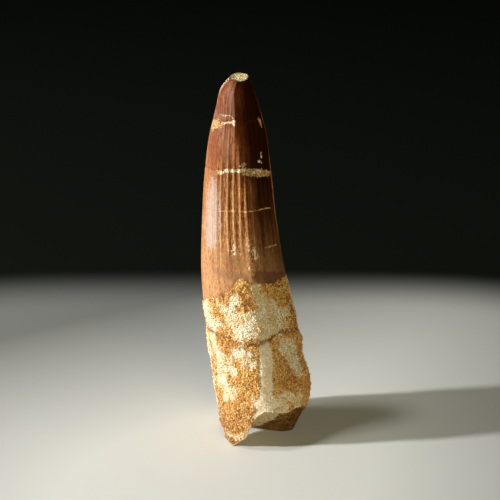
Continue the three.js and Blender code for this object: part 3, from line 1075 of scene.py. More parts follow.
class Nodes:
    """A short way to add and join the nodes of one tree."""

    def __init__(self, tree: bpy.types.NodeTree) -> None:
        """Takes the tree, and keeps what is in it."""
        self.tree = tree

    def add(
        self, kind: str, settings: dict[str, str | bool | bpy.types.NodeTree] | None = None, **inputs: Feed
    ) -> bpy.types.Node:
        """Adds a node.

        Args:
            kind: the node's type, without its ShaderNode prefix.
            settings: its properties by name.
            inputs: its inputs by name, with _ for a space: a socket to join, or a value to set.

        Returns:
            The node.
        """
        node = self.tree.nodes.new("ShaderNode" + kind)
        for name, value in (settings or {}).items():
            setattr(node, name, value)
        for name, value in inputs.items():
            self.feed(node.inputs[name.replace("_", " ")], value)
        return node

    def feed(self, socket: Socket, value: Feed) -> None:
        """Joins a socket to an input, or sets its value.

        Args:
            socket: the input.
            value: what it takes.
        """
        if isinstance(value, bpy.types.NodeSocket):
            self.tree.links.new(value, socket)
        elif isinstance(value, bpy.types.Node):
            self.tree.links.new(value.outputs[0], socket)
        else:
            socket.default_value = value

    def feed_all(self, node: bpy.types.Node, values: dict[int, Feed]) -> bpy.types.Node:
        """Feeds a node's inputs by their numbers.

        Args:
            node: the node.
            values: what each input takes.

        Returns:
            The same node.
        """
        for index, value in values.items():
            self.feed(node.inputs[index], value)
        return node

    def math(self, operation: str, *values: Feed, clamp: bool = False) -> Socket:
        """One step of arithmetic."""
        node = self.add("Math", {"operation": operation, "use_clamp": clamp})
        return self.feed_all(node, dict(enumerate(values))).outputs[0]

    def times(self, first: Feed, second: Feed) -> Socket:
        """One value times another."""
        return self.math("MULTIPLY", first, second)

    def plus(self, first: Feed, second: Feed) -> Socket:
        """One value plus another."""
        return self.math("ADD", first, second)

    def minus(self, first: Feed, second: Feed) -> Socket:
        """One value less another."""
        return self.math("SUBTRACT", first, second)

    def span(self, value: Feed, low: float, high: float, to_low: float = 0, to_high: float = 1) -> Socket:
        """Moves a value smoothly from one span to another, and holds it there.

        Args:
            value: the value.
            low: where the first span starts.
            high: where it ends.
            to_low: what the value is at low.
            to_high: what it is at high.

        Returns:
            The moved value.
        """
        settings = {"interpolation_type": "SMOOTHSTEP"}
        node = self.add("MapRange", settings, Value=value, From_Min=low, From_Max=high)
        self.feed(node.inputs["To Min"], to_low)
        self.feed(node.inputs["To Max"], to_high)
        return node.outputs["Result"]

    def mix(self, share: Feed, first: Feed, second: Feed) -> Socket:
        """Two colours mixed by a share."""
        node = self.add("Mix", {"data_type": "RGBA"})
        return self.feed_all(node, {0: share, 6: first, 7: second}).outputs[2]

    def lay(self, base: Feed, hue: Feed, first: Feed, second: Feed) -> Socket:
        """A colour laid over another by the product of two shares."""
        return self.mix(self.times(first, second), base, hue)

    def blend(self, share: Feed, first: Feed, second: Feed) -> Socket:
        """Two numbers mixed by a share."""
        node = self.add("Mix", {"data_type": "FLOAT"})
        return self.feed_all(node, {0: share, 2: first, 3: second}).outputs[0]

    def blend_vectors(self, share: Feed, first: Feed, second: Feed) -> Socket:
        """Two vectors mixed by a share."""
        node = self.add("Mix", {"data_type": "VECTOR"})
        return self.feed_all(node, {0: share, 4: first, 5: second}).outputs[1]

    def vector(self, operation: str, first: Feed, second: Feed) -> Socket:
        """One step of arithmetic on vectors."""
        node = self.add("VectorMath", {"operation": operation})
        return self.feed_all(node, {0: first, 1: second}).outputs[0]

    def mask(self, name: str) -> Socket:
        """A mask of the piece's own."""
        return self.add("Attribute", {"attribute_name": name}).outputs["Fac"]

    def waves(self, place: Feed, size: float, detail: float = 3, rough: float = 0.55) -> Socket:
        """Noise from 0 to 1.

        Args:
            place: coordinates.
            size: how large its features are, in the coordinates' unit.
            detail: how many finer layers it has.
            rough: how strong each layer is beside the one before.

        Returns:
            The noise.
        """
        settings = {"noise_dimensions": "3D"}
        node = self.add("TexNoise", settings, Vector=place, Scale=1 / size, Detail=detail, Roughness=rough)
        return node.outputs["Fac"]

    def moved(self, place: Feed, away: float) -> Socket:
        """Coordinates moved far enough away that noise there has nothing to do with noise here."""
        return self.vector("ADD", place, (away, away, away))

    def drawn_out(self, place: Feed, along: float) -> Socket:
        """Coordinates on which a pattern is drawn out lengthwise, so many times."""
        return self.vector("MULTIPLY", place, (1, 1, 1 / along))

    def millimetres(self) -> Socket:
        """Coordinates on the piece in millimetres."""
        return self.vector("MULTIPLY", self.add("TexCoord").outputs["Object"], (1 / MM, 1 / MM, 1 / MM))

    def height(self, place: Feed) -> Socket:
        """How high coordinates are."""
        return self.add("SeparateXYZ", {}, Vector=place).outputs["Z"]


def colour(red: float, green: float, blue: float) -> Colour:
    """A colour from 0 to 255 as a screen shows it, in the linear numbers that the nodes take.

    Args:
        red: its red.
        green: its green.
        blue: its blue.

    Returns:
        Red, green, blue and 1.
    """
    shown = (red / 255, green / 255, blue / 255)
    linear = (v / 12.92 if v <= 0.04045 else ((v + 0.055) / 1.055) ** 2.4 for v in shown)
    return (*linear, 1.0)


def new_group(
    name: str, inputs: dict[str, str], outputs: dict[str, str]
) -> tuple[Nodes, dict[str, Socket], dict[str, Socket]]:
    """Starts a node group.

    Args:
        name: its name.
        inputs: the type of each input by its name, without the NodeSocket prefix.
        outputs: the same for each output.

    Returns:
        The group's nodes, the sockets that bring its inputs in, and the sockets that take its outputs.
    """
    tree = bpy.data.node_groups.new(name, "ShaderNodeTree")
    for socket, kind in inputs.items():
        tree.interface.new_socket(socket, in_out="INPUT", socket_type="NodeSocket" + kind)
    for socket, kind in outputs.items():
        tree.interface.new_socket(socket, in_out="OUTPUT", socket_type="NodeSocket" + kind)
    start = tree.nodes.new("NodeGroupInput")
    end = tree.nodes.new("NodeGroupOutput")
    return Nodes(tree), {s: start.outputs[s] for s in inputs}, {s: end.inputs[s] for s in outputs}


class Effects:
    """The node groups that the tooth and its grains share."""

    sand_bend = 0.12
    foot_top = 19.0
    foot_stained = 5.0

    def __init__(self, tones: CrustColours) -> None:
        """Builds the groups.

        Args:
            tones: the crust's colours.
        """
        self.tones = tones
        self.sand = self._sand()
        self.edge = self._edge()
        self.crust = self._crust()

    def _sand(self) -> bpy.types.NodeTree:
        """Sand stuck to a surface.

        Returns:
            A group that gives each grain's height and tone, and the gaps between them, for painted shade.
        """
        sockets = {"Height": "Float", "Tone": "Float", "Gaps": "Float"}
        nodes, given, out = new_group("sand", {"Place": "Vector", "Size": "Float"}, sockets)
        scale = nodes.math("DIVIDE", 1.0, given["Size"])
        bent = nodes.add("TexNoise", {}, Vector=given["Place"], Scale=2.0, Detail=2.0).outputs["Color"]
        place = nodes.blend_vectors(self.sand_bend, given["Place"], bent)
        cells = nodes.add("TexVoronoi", {"feature": "F1"}, Vector=place, Scale=scale)
        walls = nodes.add("TexVoronoi", {"feature": "DISTANCE_TO_EDGE"}, Vector=place, Scale=scale)
        parts = nodes.add("SeparateColor", {}, Color=cells.outputs["Color"])
        nodes.feed(out["Height"], nodes.minus(1.0, cells.outputs["Distance"]))
        nodes.feed(out["Tone"], parts.outputs[0])
        nodes.feed(out["Gaps"], nodes.span(walls.outputs["Distance"], 0.02, 0.16, 1, 0))
        return nodes.tree

    @staticmethod
    def _edge() -> bpy.types.NodeTree:
        """A patch with a ragged edge, from a mask in millimetres that is 0 along the patch's edge.

        Returns:
            A group that gives the patch's share.
        """
        inputs = {"Mask": "Float", "Rag": "Float", "Ragged": "Float", "Soft": "Float"}
        nodes, given, out = new_group("ragged_edge", inputs, {"Share": "Float"})
        rag = nodes.times(nodes.minus(given["Rag"], 0.5), given["Ragged"])
        moved = nodes.plus(given["Mask"], rag)
        spread = nodes.math("ADD", nodes.math("DIVIDE", moved, given["Soft"]), 0.5, clamp=True)
        nodes.feed(out["Share"], nodes.span(spread, 0, 1))
        return nodes.tree

    def _crust(self) -> bpy.types.NodeTree:
        """The crust's colour at a place, from the masks of what covers it.

        Returns:
            A group that gives the colour and the share of beige dust.
        """
        inputs = {"Place": "Vector", "Cream": "Float", "Gold": "Float", "Rust": "Float", "Beige": "Float"}
        nodes, given, out = new_group("crust_colour", inputs, {"Color": "Color", "Beige": "Float"})
        tones, place = self.tones, given["Place"]
        cloudy = nodes.waves(place, 1.7, 5, 0.7)
        other = nodes.waves(nodes.moved(place, 37), 1.6, 5, 0.7)
        blotch = nodes.waves(nodes.moved(place, 71), 3.4, 4, 0.6)
        speck = nodes.waves(place, 0.6, 3, 0.75)
        base = nodes.mix(nodes.span(blotch, 0.36, 0.64), tones.ochre_dark, tones.ochre)
        base = nodes.mix(nodes.span(other, 0.54, 0.68, 0, 0.7), base, tones.ochre_pale)
        golds = nodes.mix(nodes.span(speck, 0.35, 0.65), tones.gold_dark, tones.gold)
        creams = nodes.mix(nodes.span(blotch, 0.4, 0.62), tones.cream_grey, tones.cream)
        rusts = nodes.mix(blotch, tones.rust_dark, tones.rust)
        rust = self.ragged(nodes, given["Rust"], other, 6.0, 1.2)
        gold = self.ragged(nodes, given["Gold"], other, 5.0, 1.0)
        cream = self.ragged(nodes, nodes.plus(given["Cream"], 0.3), cloudy, 7.5, 1.3)
        for hue, share, most in ((rusts, rust, 0.85), (golds, gold, 0.9), (creams, cream, 0.95)):
            base = nodes.lay(base, hue, share, most)
        stained = nodes.math("MULTIPLY_ADD", cream, -0.72, 0.9)
        foot = nodes.mix(nodes.span(blotch, 0.3, 0.7), tones.stain_dark, tones.stain)
        low = nodes.span(nodes.height(place), self.foot_top, self.foot_stained, 0, 0.95)
        base = nodes.lay(base, foot, low, stained)
        # Dark brown crumb marks on the crust: partly their own colour, partly painted shade between lumps
        crumbs_and_shade = nodes.waves(nodes.moved(place, 55), 1.0, 4, 0.72)
        base = nodes.mix(nodes.span(speck, 0.52, 0.62, 0, 0.7), base, tones.ochre_pale)
        base = nodes.lay(base, tones.rust_dark, nodes.span(speck, 0.47, 0.38), stained)
        base = nodes.lay(base, tones.rust_dark, nodes.span(crumbs_and_shade, 0.42, 0.32, 0, 0.75), stained)
        beige = self.ragged(nodes, given["Beige"], cloudy, 2.0, 0.6)
        dust = nodes.mix(nodes.span(speck, 0.3, 0.7), tones.beige_dark, tones.beige)
        nodes.feed(out["Color"], nodes.mix(beige, base, dust))
        nodes.feed(out["Beige"], beige)
        return nodes.tree

    def ragged(self, nodes: Nodes, mask: Feed, rag: Feed, ragged: float, soft: float) -> Socket:
        """Places the ragged edge's group in a tree.

        Args:
            nodes: the tree's nodes.
            mask: a mask in millimetres.
            rag: the noise that makes its edge ragged.
            ragged: how far that noise moves the edge, in millimetres.
            soft: how wide the edge fades, in millimetres.

        Returns:
            The patch's share.
        """
        return use(nodes, self.edge, Mask=mask, Rag=rag, Ragged=ragged, Soft=soft).outputs[0]

    def crust_at(self, nodes: Nodes, place: Socket) -> bpy.types.Node:
        """Places the crust's group in a material, with the piece's masks."""
        masks = {name.capitalize(): nodes.mask(name) for name in ("cream", "gold", "rust", "beige")}
        return use(nodes, self.crust, Place=place, **masks)


def use(nodes: Nodes, group: bpy.types.NodeTree, **inputs: Feed) -> bpy.types.Node:
    """Places a group in a tree, with its inputs by name."""
    return nodes.add("Group", {"node_tree": group}, **inputs)


def new_material(name: str) -> tuple[bpy.types.Material, Nodes, bpy.types.Node]:
    """Starts a material.

    Args:
        name: its name.

    Returns:
        The material, its nodes and its Principled shader.
    """
    material = bpy.data.materials.new(name)
    material.use_nodes = True
    return material, Nodes(material.node_tree), material.node_tree.nodes["Principled BSDF"]


@dataclass(frozen=True)
class EnamelColours:
    """The crown's browns, from its tip down to the enamel's end."""

    tip: Colour = colour(94, 42, 17)
    high: Colour = colour(130, 74, 34)
    middle: Colour = colour(188, 122, 72)
    low: Colour = colour(191, 140, 95)
    streak: Colour = colour(200, 134, 84)
    # deep and dark lie on the crown's darker side: partly its own brown, partly painted shade
    deep: Colour = colour(102, 48, 12)
    # Painted highlight on flute crests and painted shade in their valleys; also streak and crack colours
    crest: Colour = colour(232, 182, 116)
    valley: Colour = colour(92, 42, 14)
    red: Colour = colour(134, 60, 24)
    dark: Colour = colour(32, 10, 1)
    haze: Colour = colour(242, 226, 196)
    # A painted sheen: the pale colour of the glare on the crown's left flank
    painted_sheen: Colour = colour(178, 166, 158)
    vein: Colour = colour(226, 184, 120)
    scar: Colour = colour(250, 236, 204)
    scar_dark: Colour = colour(206, 160, 100)
    tan: Colour = colour(232, 194, 136)
    tan_dark: Colour = colour(158, 112, 62)
    # Greyish brown: painted sheen near the tip, the enamel's own colour lower down
    grey_and_sheen: Colour = colour(140, 102, 78)
    # Dark brown for marks, also laid as painted shade
    soil_and_shade: Colour = colour(80, 48, 34)


@dataclass(frozen=True)
class CrustColours:
    """The root's crusts."""

    ochre: Colour = colour(226, 168, 84)
    ochre_pale: Colour = colour(250, 230, 168)
    ochre_dark: Colour = colour(208, 144, 62)
    cream: Colour = colour(250, 244, 220)
    cream_grey: Colour = colour(238, 214, 168)
    gold: Colour = colour(230, 186, 92)
    gold_dark: Colour = colour(196, 144, 60)
    rust: Colour = colour(208, 144, 68)
    rust_dark: Colour = colour(166, 106, 44)
    stain: Colour = colour(190, 124, 56)
    stain_dark: Colour = colour(134, 80, 32)
    beige: Colour = colour(250, 234, 204)
    beige_dark: Colour = colour(212, 186, 148)
    # The next colour is painted shade in the gaps between sand grains
    gap: Colour = colour(130, 80, 34)
    # crevice darkens the root's crack, and is also laid as painted shade down its right edge
    crevice: Colour = colour(108, 66, 30)


@dataclass(frozen=True)
class BreakColours:
    """The broken faces."""

    umber: Colour = colour(126, 84, 34)
    umber_dark: Colour = colour(70, 44, 16)
    sand: Colour = colour(176, 134, 80)
    lip: Colour = colour(238, 214, 168)
    lip_dark: Colour = colour(186, 152, 104)
    # edge is a painted highlight along the broken edge
    edge: Colour = colour(252, 240, 212)
    tip: Colour = colour(232, 218, 170)
    tip_dark: Colour = colour(198, 174, 116)


@dataclass(frozen=True)
class ToothFinish:
    """The tooth's one material: enamel, crust, scars and broken faces, each where its mask puts it.

    Bumps and the sand's size are in millimetres. The shares say how strongly each layer shows.
    """

    effects: Effects
    enamel: EnamelColours = EnamelColours()
    broken: BreakColours = BreakColours()
    sand_size: float = 0.5
    gap_shade_share: float = 0.26
    soil_and_shade_share: float = 0.65
    crust_roughness: float = 0.92
    specular: float = 0.1
    coat_roughness: float = 0.48
    crust_bump: float = 0.6
    skin_bump: float = 0.1
    skin_bump_strength: float = 0.5

    def material(self) -> bpy.types.Material:
        """Makes the material.

        Returns:
            The material.
        """
        material, nodes, shader = new_material("fossil_tooth")
        place = nodes.millimetres()
        sand = use(nodes, self.effects.sand, Place=place, Size=self.sand_size)
        fine = nodes.waves(place, 0.5, 3, 0.65)
        enamel_colour, streak = self._enamel(nodes, place)
        crust_colour, crust_height = self._crust(nodes, place, sand, fine)
        over = self.effects.ragged(nodes, nodes.mask("enamel"), nodes.waves(place, 1.6, 4, 0.7), 3.0, 0.5)
        base, scars = self._scars(nodes, place, nodes.mix(over, crust_colour, enamel_colour))
        broken, broken_height = self._broken(nodes, place, sand, fine)
        cut = nodes.math("MAXIMUM", nodes.mask("broken"), nodes.mask("chipped"))
        base = nodes.mix(cut, base, broken)
        # Painted highlight along the broken edge, on the side that faces the camera
        edge = nodes.times(nodes.mask("edge"), nodes.span(nodes.waves(place, 0.9, 3, 0.7), 0.28, 0.44))
        base = nodes.lay(base, self.broken.edge, edge, nodes.span(nodes.height(place), 2, 4, 0.2, 1))
        nodes.feed(shader.inputs["Base Color"], base)

        skin = nodes.times(over, nodes.minus(1.0, nodes.math("MAXIMUM", cut, scars)))
        dull = nodes.span(nodes.mask("enamel"), 1.0, 6.0, 0.7, 0.5)
        gloss = nodes.plus(dull, nodes.times(nodes.minus(fine, 0.5), 0.3))
        nodes.feed(shader.inputs["Roughness"], nodes.blend(skin, self.crust_roughness, gloss))
        shader.inputs["Specular IOR Level"].default_value = self.specular
        shine = nodes.span(nodes.mask("gloss"), -1.2, 2.0, 0.03, 0.6)
        nodes.feed(shader.inputs["Coat Weight"], nodes.times(skin, shine))
        shader.inputs["Coat Roughness"].default_value = self.coat_roughness

        grit = nodes.times(nodes.waves(place, 0.5, 3, 0.75), 2.2)
        skin_height = nodes.math("MULTIPLY_ADD", streak, 1.6, grit)
        rough_height = nodes.blend(cut, crust_height, broken_height)
        low = nodes.add("Bump", {}, Strength=1.0, Distance=self.crust_bump * MM, Height=rough_height)
        strength = self.skin_bump_strength
        high = nodes.add("Bump", {}, Strength=strength, Distance=self.skin_bump * MM, Height=skin_height)
        nodes.feed(shader.inputs["Normal"], nodes.blend_vectors(skin, low, high))
        return material

    def _crust(
        self, nodes: Nodes, place: Socket, sand: bpy.types.Node, fine: Socket
    ) -> tuple[Socket, Socket]:
        """The root's crust and crack, with painted shade in its sand's gaps and in some brown patches.

        Args:
            nodes: the material's nodes.
            place: coordinates in millimetres.
            sand: the sand's group.
            fine: fine noise.

        Returns:
            Its colour and its height.
        """
        tones = self.effects.tones
        crust = self.effects.crust_at(nodes, place)
        bare = nodes.minus(1.0, crust.outputs["Beige"])
        # Painted shade in the gaps between the sand's grains
        gaps = nodes.times(sand.outputs["Gaps"], nodes.times(bare, self.gap_shade_share))
        base = nodes.mix(gaps, crust.outputs["Color"], tones.gap)
        near = nodes.span(nodes.math("ABSOLUTE", nodes.mask("crack")), 0.75, 0.1, 0, 0.7)
        base = nodes.lay(base, tones.crevice, near, nodes.mask("open"))
        # Painted shade down the root's right edge and partly under the toe, in the crevice's brown
        soiled_and_shaded = self.effects.ragged(nodes, nodes.mask("soil_and_shade"), nodes.waves(place, 1.2, 4, 0.7), 3.0, 1.0)
        base = nodes.lay(base, tones.crevice, soiled_and_shaded, self.soil_and_shade_share)
        height = nodes.math("MULTIPLY_ADD", fine, 0.8, nodes.times(sand.outputs["Height"], bare))
        return base, height

    def _scars(self, nodes: Nodes, place: Socket, base: Socket) -> tuple[Socket, Socket]:
        """The tan and the pale scars.

        Args:
            nodes: the material's nodes.
            place: coordinates in millimetres.
            base: the colour under them.

        Returns:
            The colour with the scars, and their share.
        """
        tones = self.enamel
        bits = nodes.waves(place, 0.45, 3, 0.75)
        tan = self.effects.ragged(nodes, nodes.mask("tan"), nodes.waves(place, 0.9, 3, 0.75), 2.4, 0.4)
        base = nodes.mix(tan, base, nodes.mix(nodes.span(bits, 0.4, 0.6), tones.tan_dark, tones.tan))
        pale = self.effects.ragged(nodes, nodes.mask("scar"), bits, 1.1, 0.25)
        base = nodes.mix(pale, base, nodes.mix(nodes.span(bits, 0.35, 0.55), tones.scar_dark, tones.scar))
        return base, nodes.math("MAXIMUM", tan, pale)

    def _enamel(self, nodes: Nodes, place: Socket) -> tuple[Socket, Socket]:
        """The enamel.

        Args:
            nodes: the material's nodes.
            place: coordinates in millimetres.

        Returns:
            Its colour, and the height of its fine lengthwise streaks.
        """
        around = nodes.add("Attribute", {"attribute_name": "around"}).outputs["Vector"]
        up = nodes.height(place)
        streak = nodes.waves(nodes.drawn_out(around, 14), 0.4, 2, 0.5)
        broad = nodes.waves(nodes.drawn_out(around, 6), 2.6, 3, 0.55)
        bands = nodes.waves(nodes.drawn_out(nodes.moved(around, 50), 9), 1.7, 2, 0.5)
        hairs = nodes.waves(nodes.drawn_out(nodes.moved(around, 90), 9), 0.24, 2, 0.6)
        mottle = nodes.waves(nodes.drawn_out(place, 1.8), 0.55, 3, 0.75)
        base = self._browns(nodes, up, broad, bands)
        base = self._streaks(nodes, base, up, (streak, hairs, mottle))
        base = self._patches(nodes, base, up, (streak, broad, mottle))
        base = self._dust(nodes, base, place)
        base = self._cracks(nodes, base, place)
        return base, nodes.blend(0.5, streak, hairs)

    def _browns(self, nodes: Nodes, up: Socket, broad: Socket, bands: Socket) -> Socket:
        """The enamel's browns from the tip down, and painted highlight and shade on its flutes.

        Args:
            nodes: the material's nodes.
            up: the height in millimetres.
            broad: noise that moves where one brown gives way to the next.
            bands: noise in long reddish bands.

        Returns:
            The colour.
        """
        tones, crest = self.enamel, nodes.mask("crest")
        moved = nodes.plus(up, nodes.times(nodes.minus(broad, 0.5), 22))
        base = nodes.mix(nodes.span(moved, 72, 86), tones.middle, tones.high)
        base = nodes.mix(nodes.span(moved, 86, 97), base, tones.tip)
        base = nodes.mix(nodes.span(moved, 68, 50), base, tones.low)
        base = nodes.mix(nodes.span(bands, 0.5, 0.68, 0, 0.5), base, tones.red)
        uneven = nodes.span(broad, 0.36, 0.6, 0.45, 1.1)
        # Painted highlight on the flutes' crests and painted shade in their valleys
        base = nodes.lay(base, tones.crest, nodes.span(crest, 0.1, 0.9, 0, 0.55), uneven)
        return nodes.lay(base, tones.valley, nodes.span(crest, 0.1, -0.75, 0, 0.75), uneven)

    def _streaks(
        self, nodes: Nodes, base: Socket, up: Socket, noises: tuple[Socket, Socket, Socket]
    ) -> Socket:
        """The enamel's fine light and dark streaks and its mottle.

        Args:
            nodes: the material's nodes.
            base: the colour under them.
            up: the height in millimetres.
            noises: the noise of the streaks, the hairs and the mottle.

        Returns:
            The colour.
        """
        tones = self.enamel
        lined = nodes.times(nodes.span(up, 53, 63, 0.3, 1), 0.5)
        light = nodes.mix(nodes.span(up, 68, 84), tones.crest, tones.streak)
        grainy = nodes.times(nodes.span(up, 54, 64, 0.9, 1), nodes.span(up, 76, 88, 0.6, 0.5))
        for noise, share in zip(noises, (lined, lined, grainy)):
            base = nodes.lay(base, light, nodes.span(noise, 0.5, 0.72), share)
            base = nodes.lay(base, tones.valley, nodes.span(noise, 0.5, 0.3), share)
        return base

    def _patches(
        self, nodes: Nodes, base: Socket, up: Socket, noises: tuple[Socket, Socket, Socket]
    ) -> Socket:
        """The enamel's red and greyish patches, and its darker side: own brown and painted shade.

        Args:
            nodes: the material's nodes.
            base: the colour under them.
            up: the height in millimetres.
            noises: the noise of the streaks, the broad noise and the mottle.

        Returns:
            The colour.
        """
        tones, (streak, broad, mottle) = self.enamel, noises
        red = self.effects.ragged(nodes, nodes.mask("red"), mottle, 3.0, 1.6)
        base = nodes.lay(base, tones.red, red, 0.5)
        # Greyish patches: painted sheen near the tip, the enamel's own colour lower down
        grey_and_sheen = self.effects.ragged(nodes, nodes.mask("grey_and_sheen"), nodes.blend(0.5, streak, mottle), 4.0, 1.2)
        base = nodes.lay(base, tones.grey_and_sheen, grey_and_sheen, 0.5)
        # The side away from the lamps: partly the enamel's own darker brown, partly painted shade
        dark = self.effects.ragged(nodes, nodes.mask("dark"), broad, 3.6, 5.6)
        base = nodes.lay(base, tones.deep, dark, nodes.span(up, 52, 72, 0.3, 0.85))
        darkest_shade = nodes.math("POWER", dark, 1.8)
        return nodes.lay(base, tones.dark, darkest_shade, nodes.span(up, 50, 78, 0.4, 0.92))

    def _dust(self, nodes: Nodes, base: Socket, place: Socket) -> Socket:
        """Brown patches partly painted shade, the pale haze, and a painted sheen stripe on the enamel.

        Args:
            nodes: the material's nodes.
            base: the colour under them.
            place: coordinates in millimetres.

        Returns:
            The colour.
        """
        tones = self.enamel
        # Dark brown marks on the enamel, partly painted shade
        soil_and_shade = self.effects.ragged(nodes, nodes.mask("soil_and_shade"), nodes.waves(place, 2.0, 4, 0.6), 3.0, 1.0)
        base = nodes.lay(base, tones.soil_and_shade, soil_and_shade, 0.55)
        flecks = nodes.waves(nodes.drawn_out(place, 1.5), 0.42, 2, 0.8)
        haze = self.effects.ragged(nodes, nodes.minus(nodes.mask("haze"), 0.6), flecks, 8.0, 0.5)
        # A painted sheen: pale colour laid over the glossy stripe
        painted_sheen = self.effects.ragged(nodes, nodes.minus(nodes.mask("gloss"), 0.2), flecks, 9.0, 0.7)
        return nodes.lay(nodes.lay(base, tones.haze, haze, 0.8), tones.painted_sheen, painted_sheen, 0.5)

    def _cracks(self, nodes: Nodes, base: Socket, place: Socket) -> Socket:
        """The dark lines of the crown's cracks, and the pale mineral in them.

        Args:
            nodes: the material's nodes.
            base: the colour under them.
            place: coordinates in millimetres.

        Returns:
            The colour.
        """
        away = nodes.math("ABSOLUTE", nodes.mask("crack"))
        vein = nodes.times(nodes.mask("vein"), nodes.span(away, 0.26, 0.08))
        vein = nodes.times(vein, nodes.span(nodes.waves(place, 1.1, 3, 0.7), 0.36, 0.56))
        base = nodes.lay(base, self.enamel.valley, nodes.span(away, 0.2, 0.05, 0, 0.8), nodes.mask("open"))
        return nodes.lay(base, self.enamel.vein, vein, 0.85)

    def _broken(
        self, nodes: Nodes, place: Socket, sand: bpy.types.Node, fine: Socket
    ) -> tuple[Socket, Socket]:
        """The broken faces.

        Args:
            nodes: the material's nodes.
            place: coordinates in millimetres.
            sand: the sand's group.
            fine: fine noise.

        Returns:
            Their colour and their height.
        """
        tones, tone = self.broken, sand.outputs["Tone"]
        blotch = nodes.waves(place, 2.2, 4, 0.65)
        base = nodes.mix(nodes.span(blotch, 0.3, 0.52), tones.umber_dark, tones.umber)
        inside = nodes.span(nodes.plus(nodes.mask("reach"), nodes.times(blotch, 0.3)), 0.75, 0.5, 0, 0.5)
        base = nodes.mix(inside, base, tones.sand)
        base = nodes.mix(nodes.span(tone, 0.6, 0.95, 0, 0.7), base, tones.sand)
        base = nodes.mix(nodes.span(tone, 0.35, 0.1, 0, 0.6), base, tones.umber_dark)
        lip = nodes.mix(nodes.span(fine, 0.3, 0.7), tones.lip_dark, tones.lip)
        toe = self.effects.ragged(nodes, nodes.mask("lip"), nodes.waves(place, 1.2, 4, 0.7), 3.0, 1.2)
        base = nodes.mix(toe, base, lip)
        chip = nodes.mix(nodes.span(nodes.waves(place, 1.3, 3, 0.7), 0.36, 0.66), tones.tip_dark, tones.tip)
        base = nodes.mix(nodes.mask("chipped"), base, chip)
        calm = nodes.minus(1.6, nodes.times(nodes.mask("chipped"), 1.2))
        return base, nodes.times(nodes.math("MULTIPLY_ADD", blotch, 1.5, sand.outputs["Height"]), calm)


@dataclass(frozen=True)
class Grains:
    """Sand grains that stick to the root's crust: small angular stones, half sunk in the skin."""

    name: str
    sizes: tuple[float, float]
    seed: int
    count: int = 9800
    sunk: float = 0.45
    small_bias: float = 2.2
    squash: tuple[float, float] = (0.6, 1.15)
    lowest: float = 0.9
    kept: tuple[str, ...] = ("cream", "gold", "rust", "beige")

    def build(self, tooth: bpy.types.Object) -> bpy.types.Object:
        """Scatters the grains over the tooth's crust.

        Args:
            tooth: the skin, which tells where the crust is and which way it faces.

        Returns:
            The grains as one mesh.
        """
        rng = np.random.default_rng(self.seed)
        skin = tooth.data
        points = read_points(skin)
        normals = np.empty(len(points) * 3, dtype=np.float32)
        skin.vertex_normals.foreach_get("vector", normals)
        normals = normals.reshape(-1, 3)
        picked = rng.choice(len(points), size=self.count, replace=False, p=self._chance(skin, points))

        bm = bmesh.new()
        bmesh.ops.create_icosphere(bm, subdivisions=1, radius=1)
        stone = new_mesh("stone", bm)
        shape = read_points(stone)
        low, high = self.sizes
        sizes = (low + (high - low) * rng.random(self.count) ** self.small_bias) * MM
        squashed = shape[None] * rng.uniform(*self.squash, (self.count, 1, 3))
        stones = np.einsum("nij,nkj->nki", random_turns(rng, self.count), squashed) * sizes[:, None, None]
        stones += (points[picked] + normals[picked] * (sizes * (0.5 - self.sunk))[:, None])[:, None]

        bm = bmesh.new()
        for _ in range(self.count):
            bm.from_mesh(stone)
        mesh = new_mesh(self.name, bm)
        write_points(mesh, stones)
        each = np.ones(len(shape))
        write_mask(mesh, "tint", np.outer(rng.random(self.count), each).ravel())
        for name in self.kept:
            write_mask(mesh, name, np.outer(read_mask(skin, name)[picked], each).ravel())
        bpy.data.meshes.remove(stone)
        grains = new_object(self.name, mesh)
        LOG.info("%s: %d stones", self.name, self.count)
        return grains

    def _chance(self, skin: bpy.types.Mesh, points: np.ndarray) -> np.ndarray:
        """How likely a grain sits on each point of the skin.

        Args:
            skin: the tooth's mesh.
            points: its points in metres.

        Returns:
            The chance of each point. They add up to 1.
        """
        crusty = 1 - smooth(-0.3, 0.5, read_mask(skin, "enamel"))
        bare = 1 - 0.97 * smooth(-0.5, 0.1, read_mask(skin, "beige"))
        pale = smooth(-0.3, 0.6, read_mask(skin, "cream"))
        whole = 1 - read_mask(skin, "broken")
        chance = crusty * bare * (1 - 0.7 * pale) * whole * (points[:, 2] > self.lowest * MM)
        return chance / chance.sum()


def random_turns(rng: np.random.Generator, count: int) -> np.ndarray:
    """Draws a turn for each stone.

    Args:
        rng: what the draws come from.
        count: how many stones there are.

    Returns:
        A rotation matrix for each.
    """
    turns = rng.normal(size=(count, 4)).T
    w, x, y, z = turns / np.sqrt((turns**2).sum(axis=0))
    rows = (
        (1 - 2 * (y * y + z * z), 2 * (x * y - z * w), 2 * (x * z + y * w)),
        (2 * (x * y + z * w), 1 - 2 * (x * x + z * z), 2 * (y * z - x * w)),
        (2 * (x * z - y * w), 2 * (y * z + x * w), 1 - 2 * (x * x + y * y)),
    )
    return np.moveaxis(np.array(rows), 2, 0)


@dataclass(frozen=True)
class GrainFinish:
    """The grains' material: the crust's colour, a little lighter or darker from grain to grain."""

    effects: Effects
    tinted: float = 0.4
    roughness: float = 0.8

    def material(self) -> bpy.types.Material:
        """Makes the material.

        Returns:
            The material.
        """
        material, nodes, shader = new_material("crust_grains")
        tones, tint = self.effects.tones, nodes.mask("tint")
        base = self.effects.crust_at(nodes, nodes.millimetres()).outputs["Color"]
        base = nodes.mix(nodes.span(tint, 0.55, 0.85, 0, self.tinted), base, tones.ochre_pale)
        base = nodes.mix(nodes.span(tint, 0.4, 0.1, 0, self.tinted), base, tones.rust_dark)
        nodes.feed(shader.inputs["Base Color"], base)
        shader.inputs["Roughness"].default_value = self.roughness
        return material


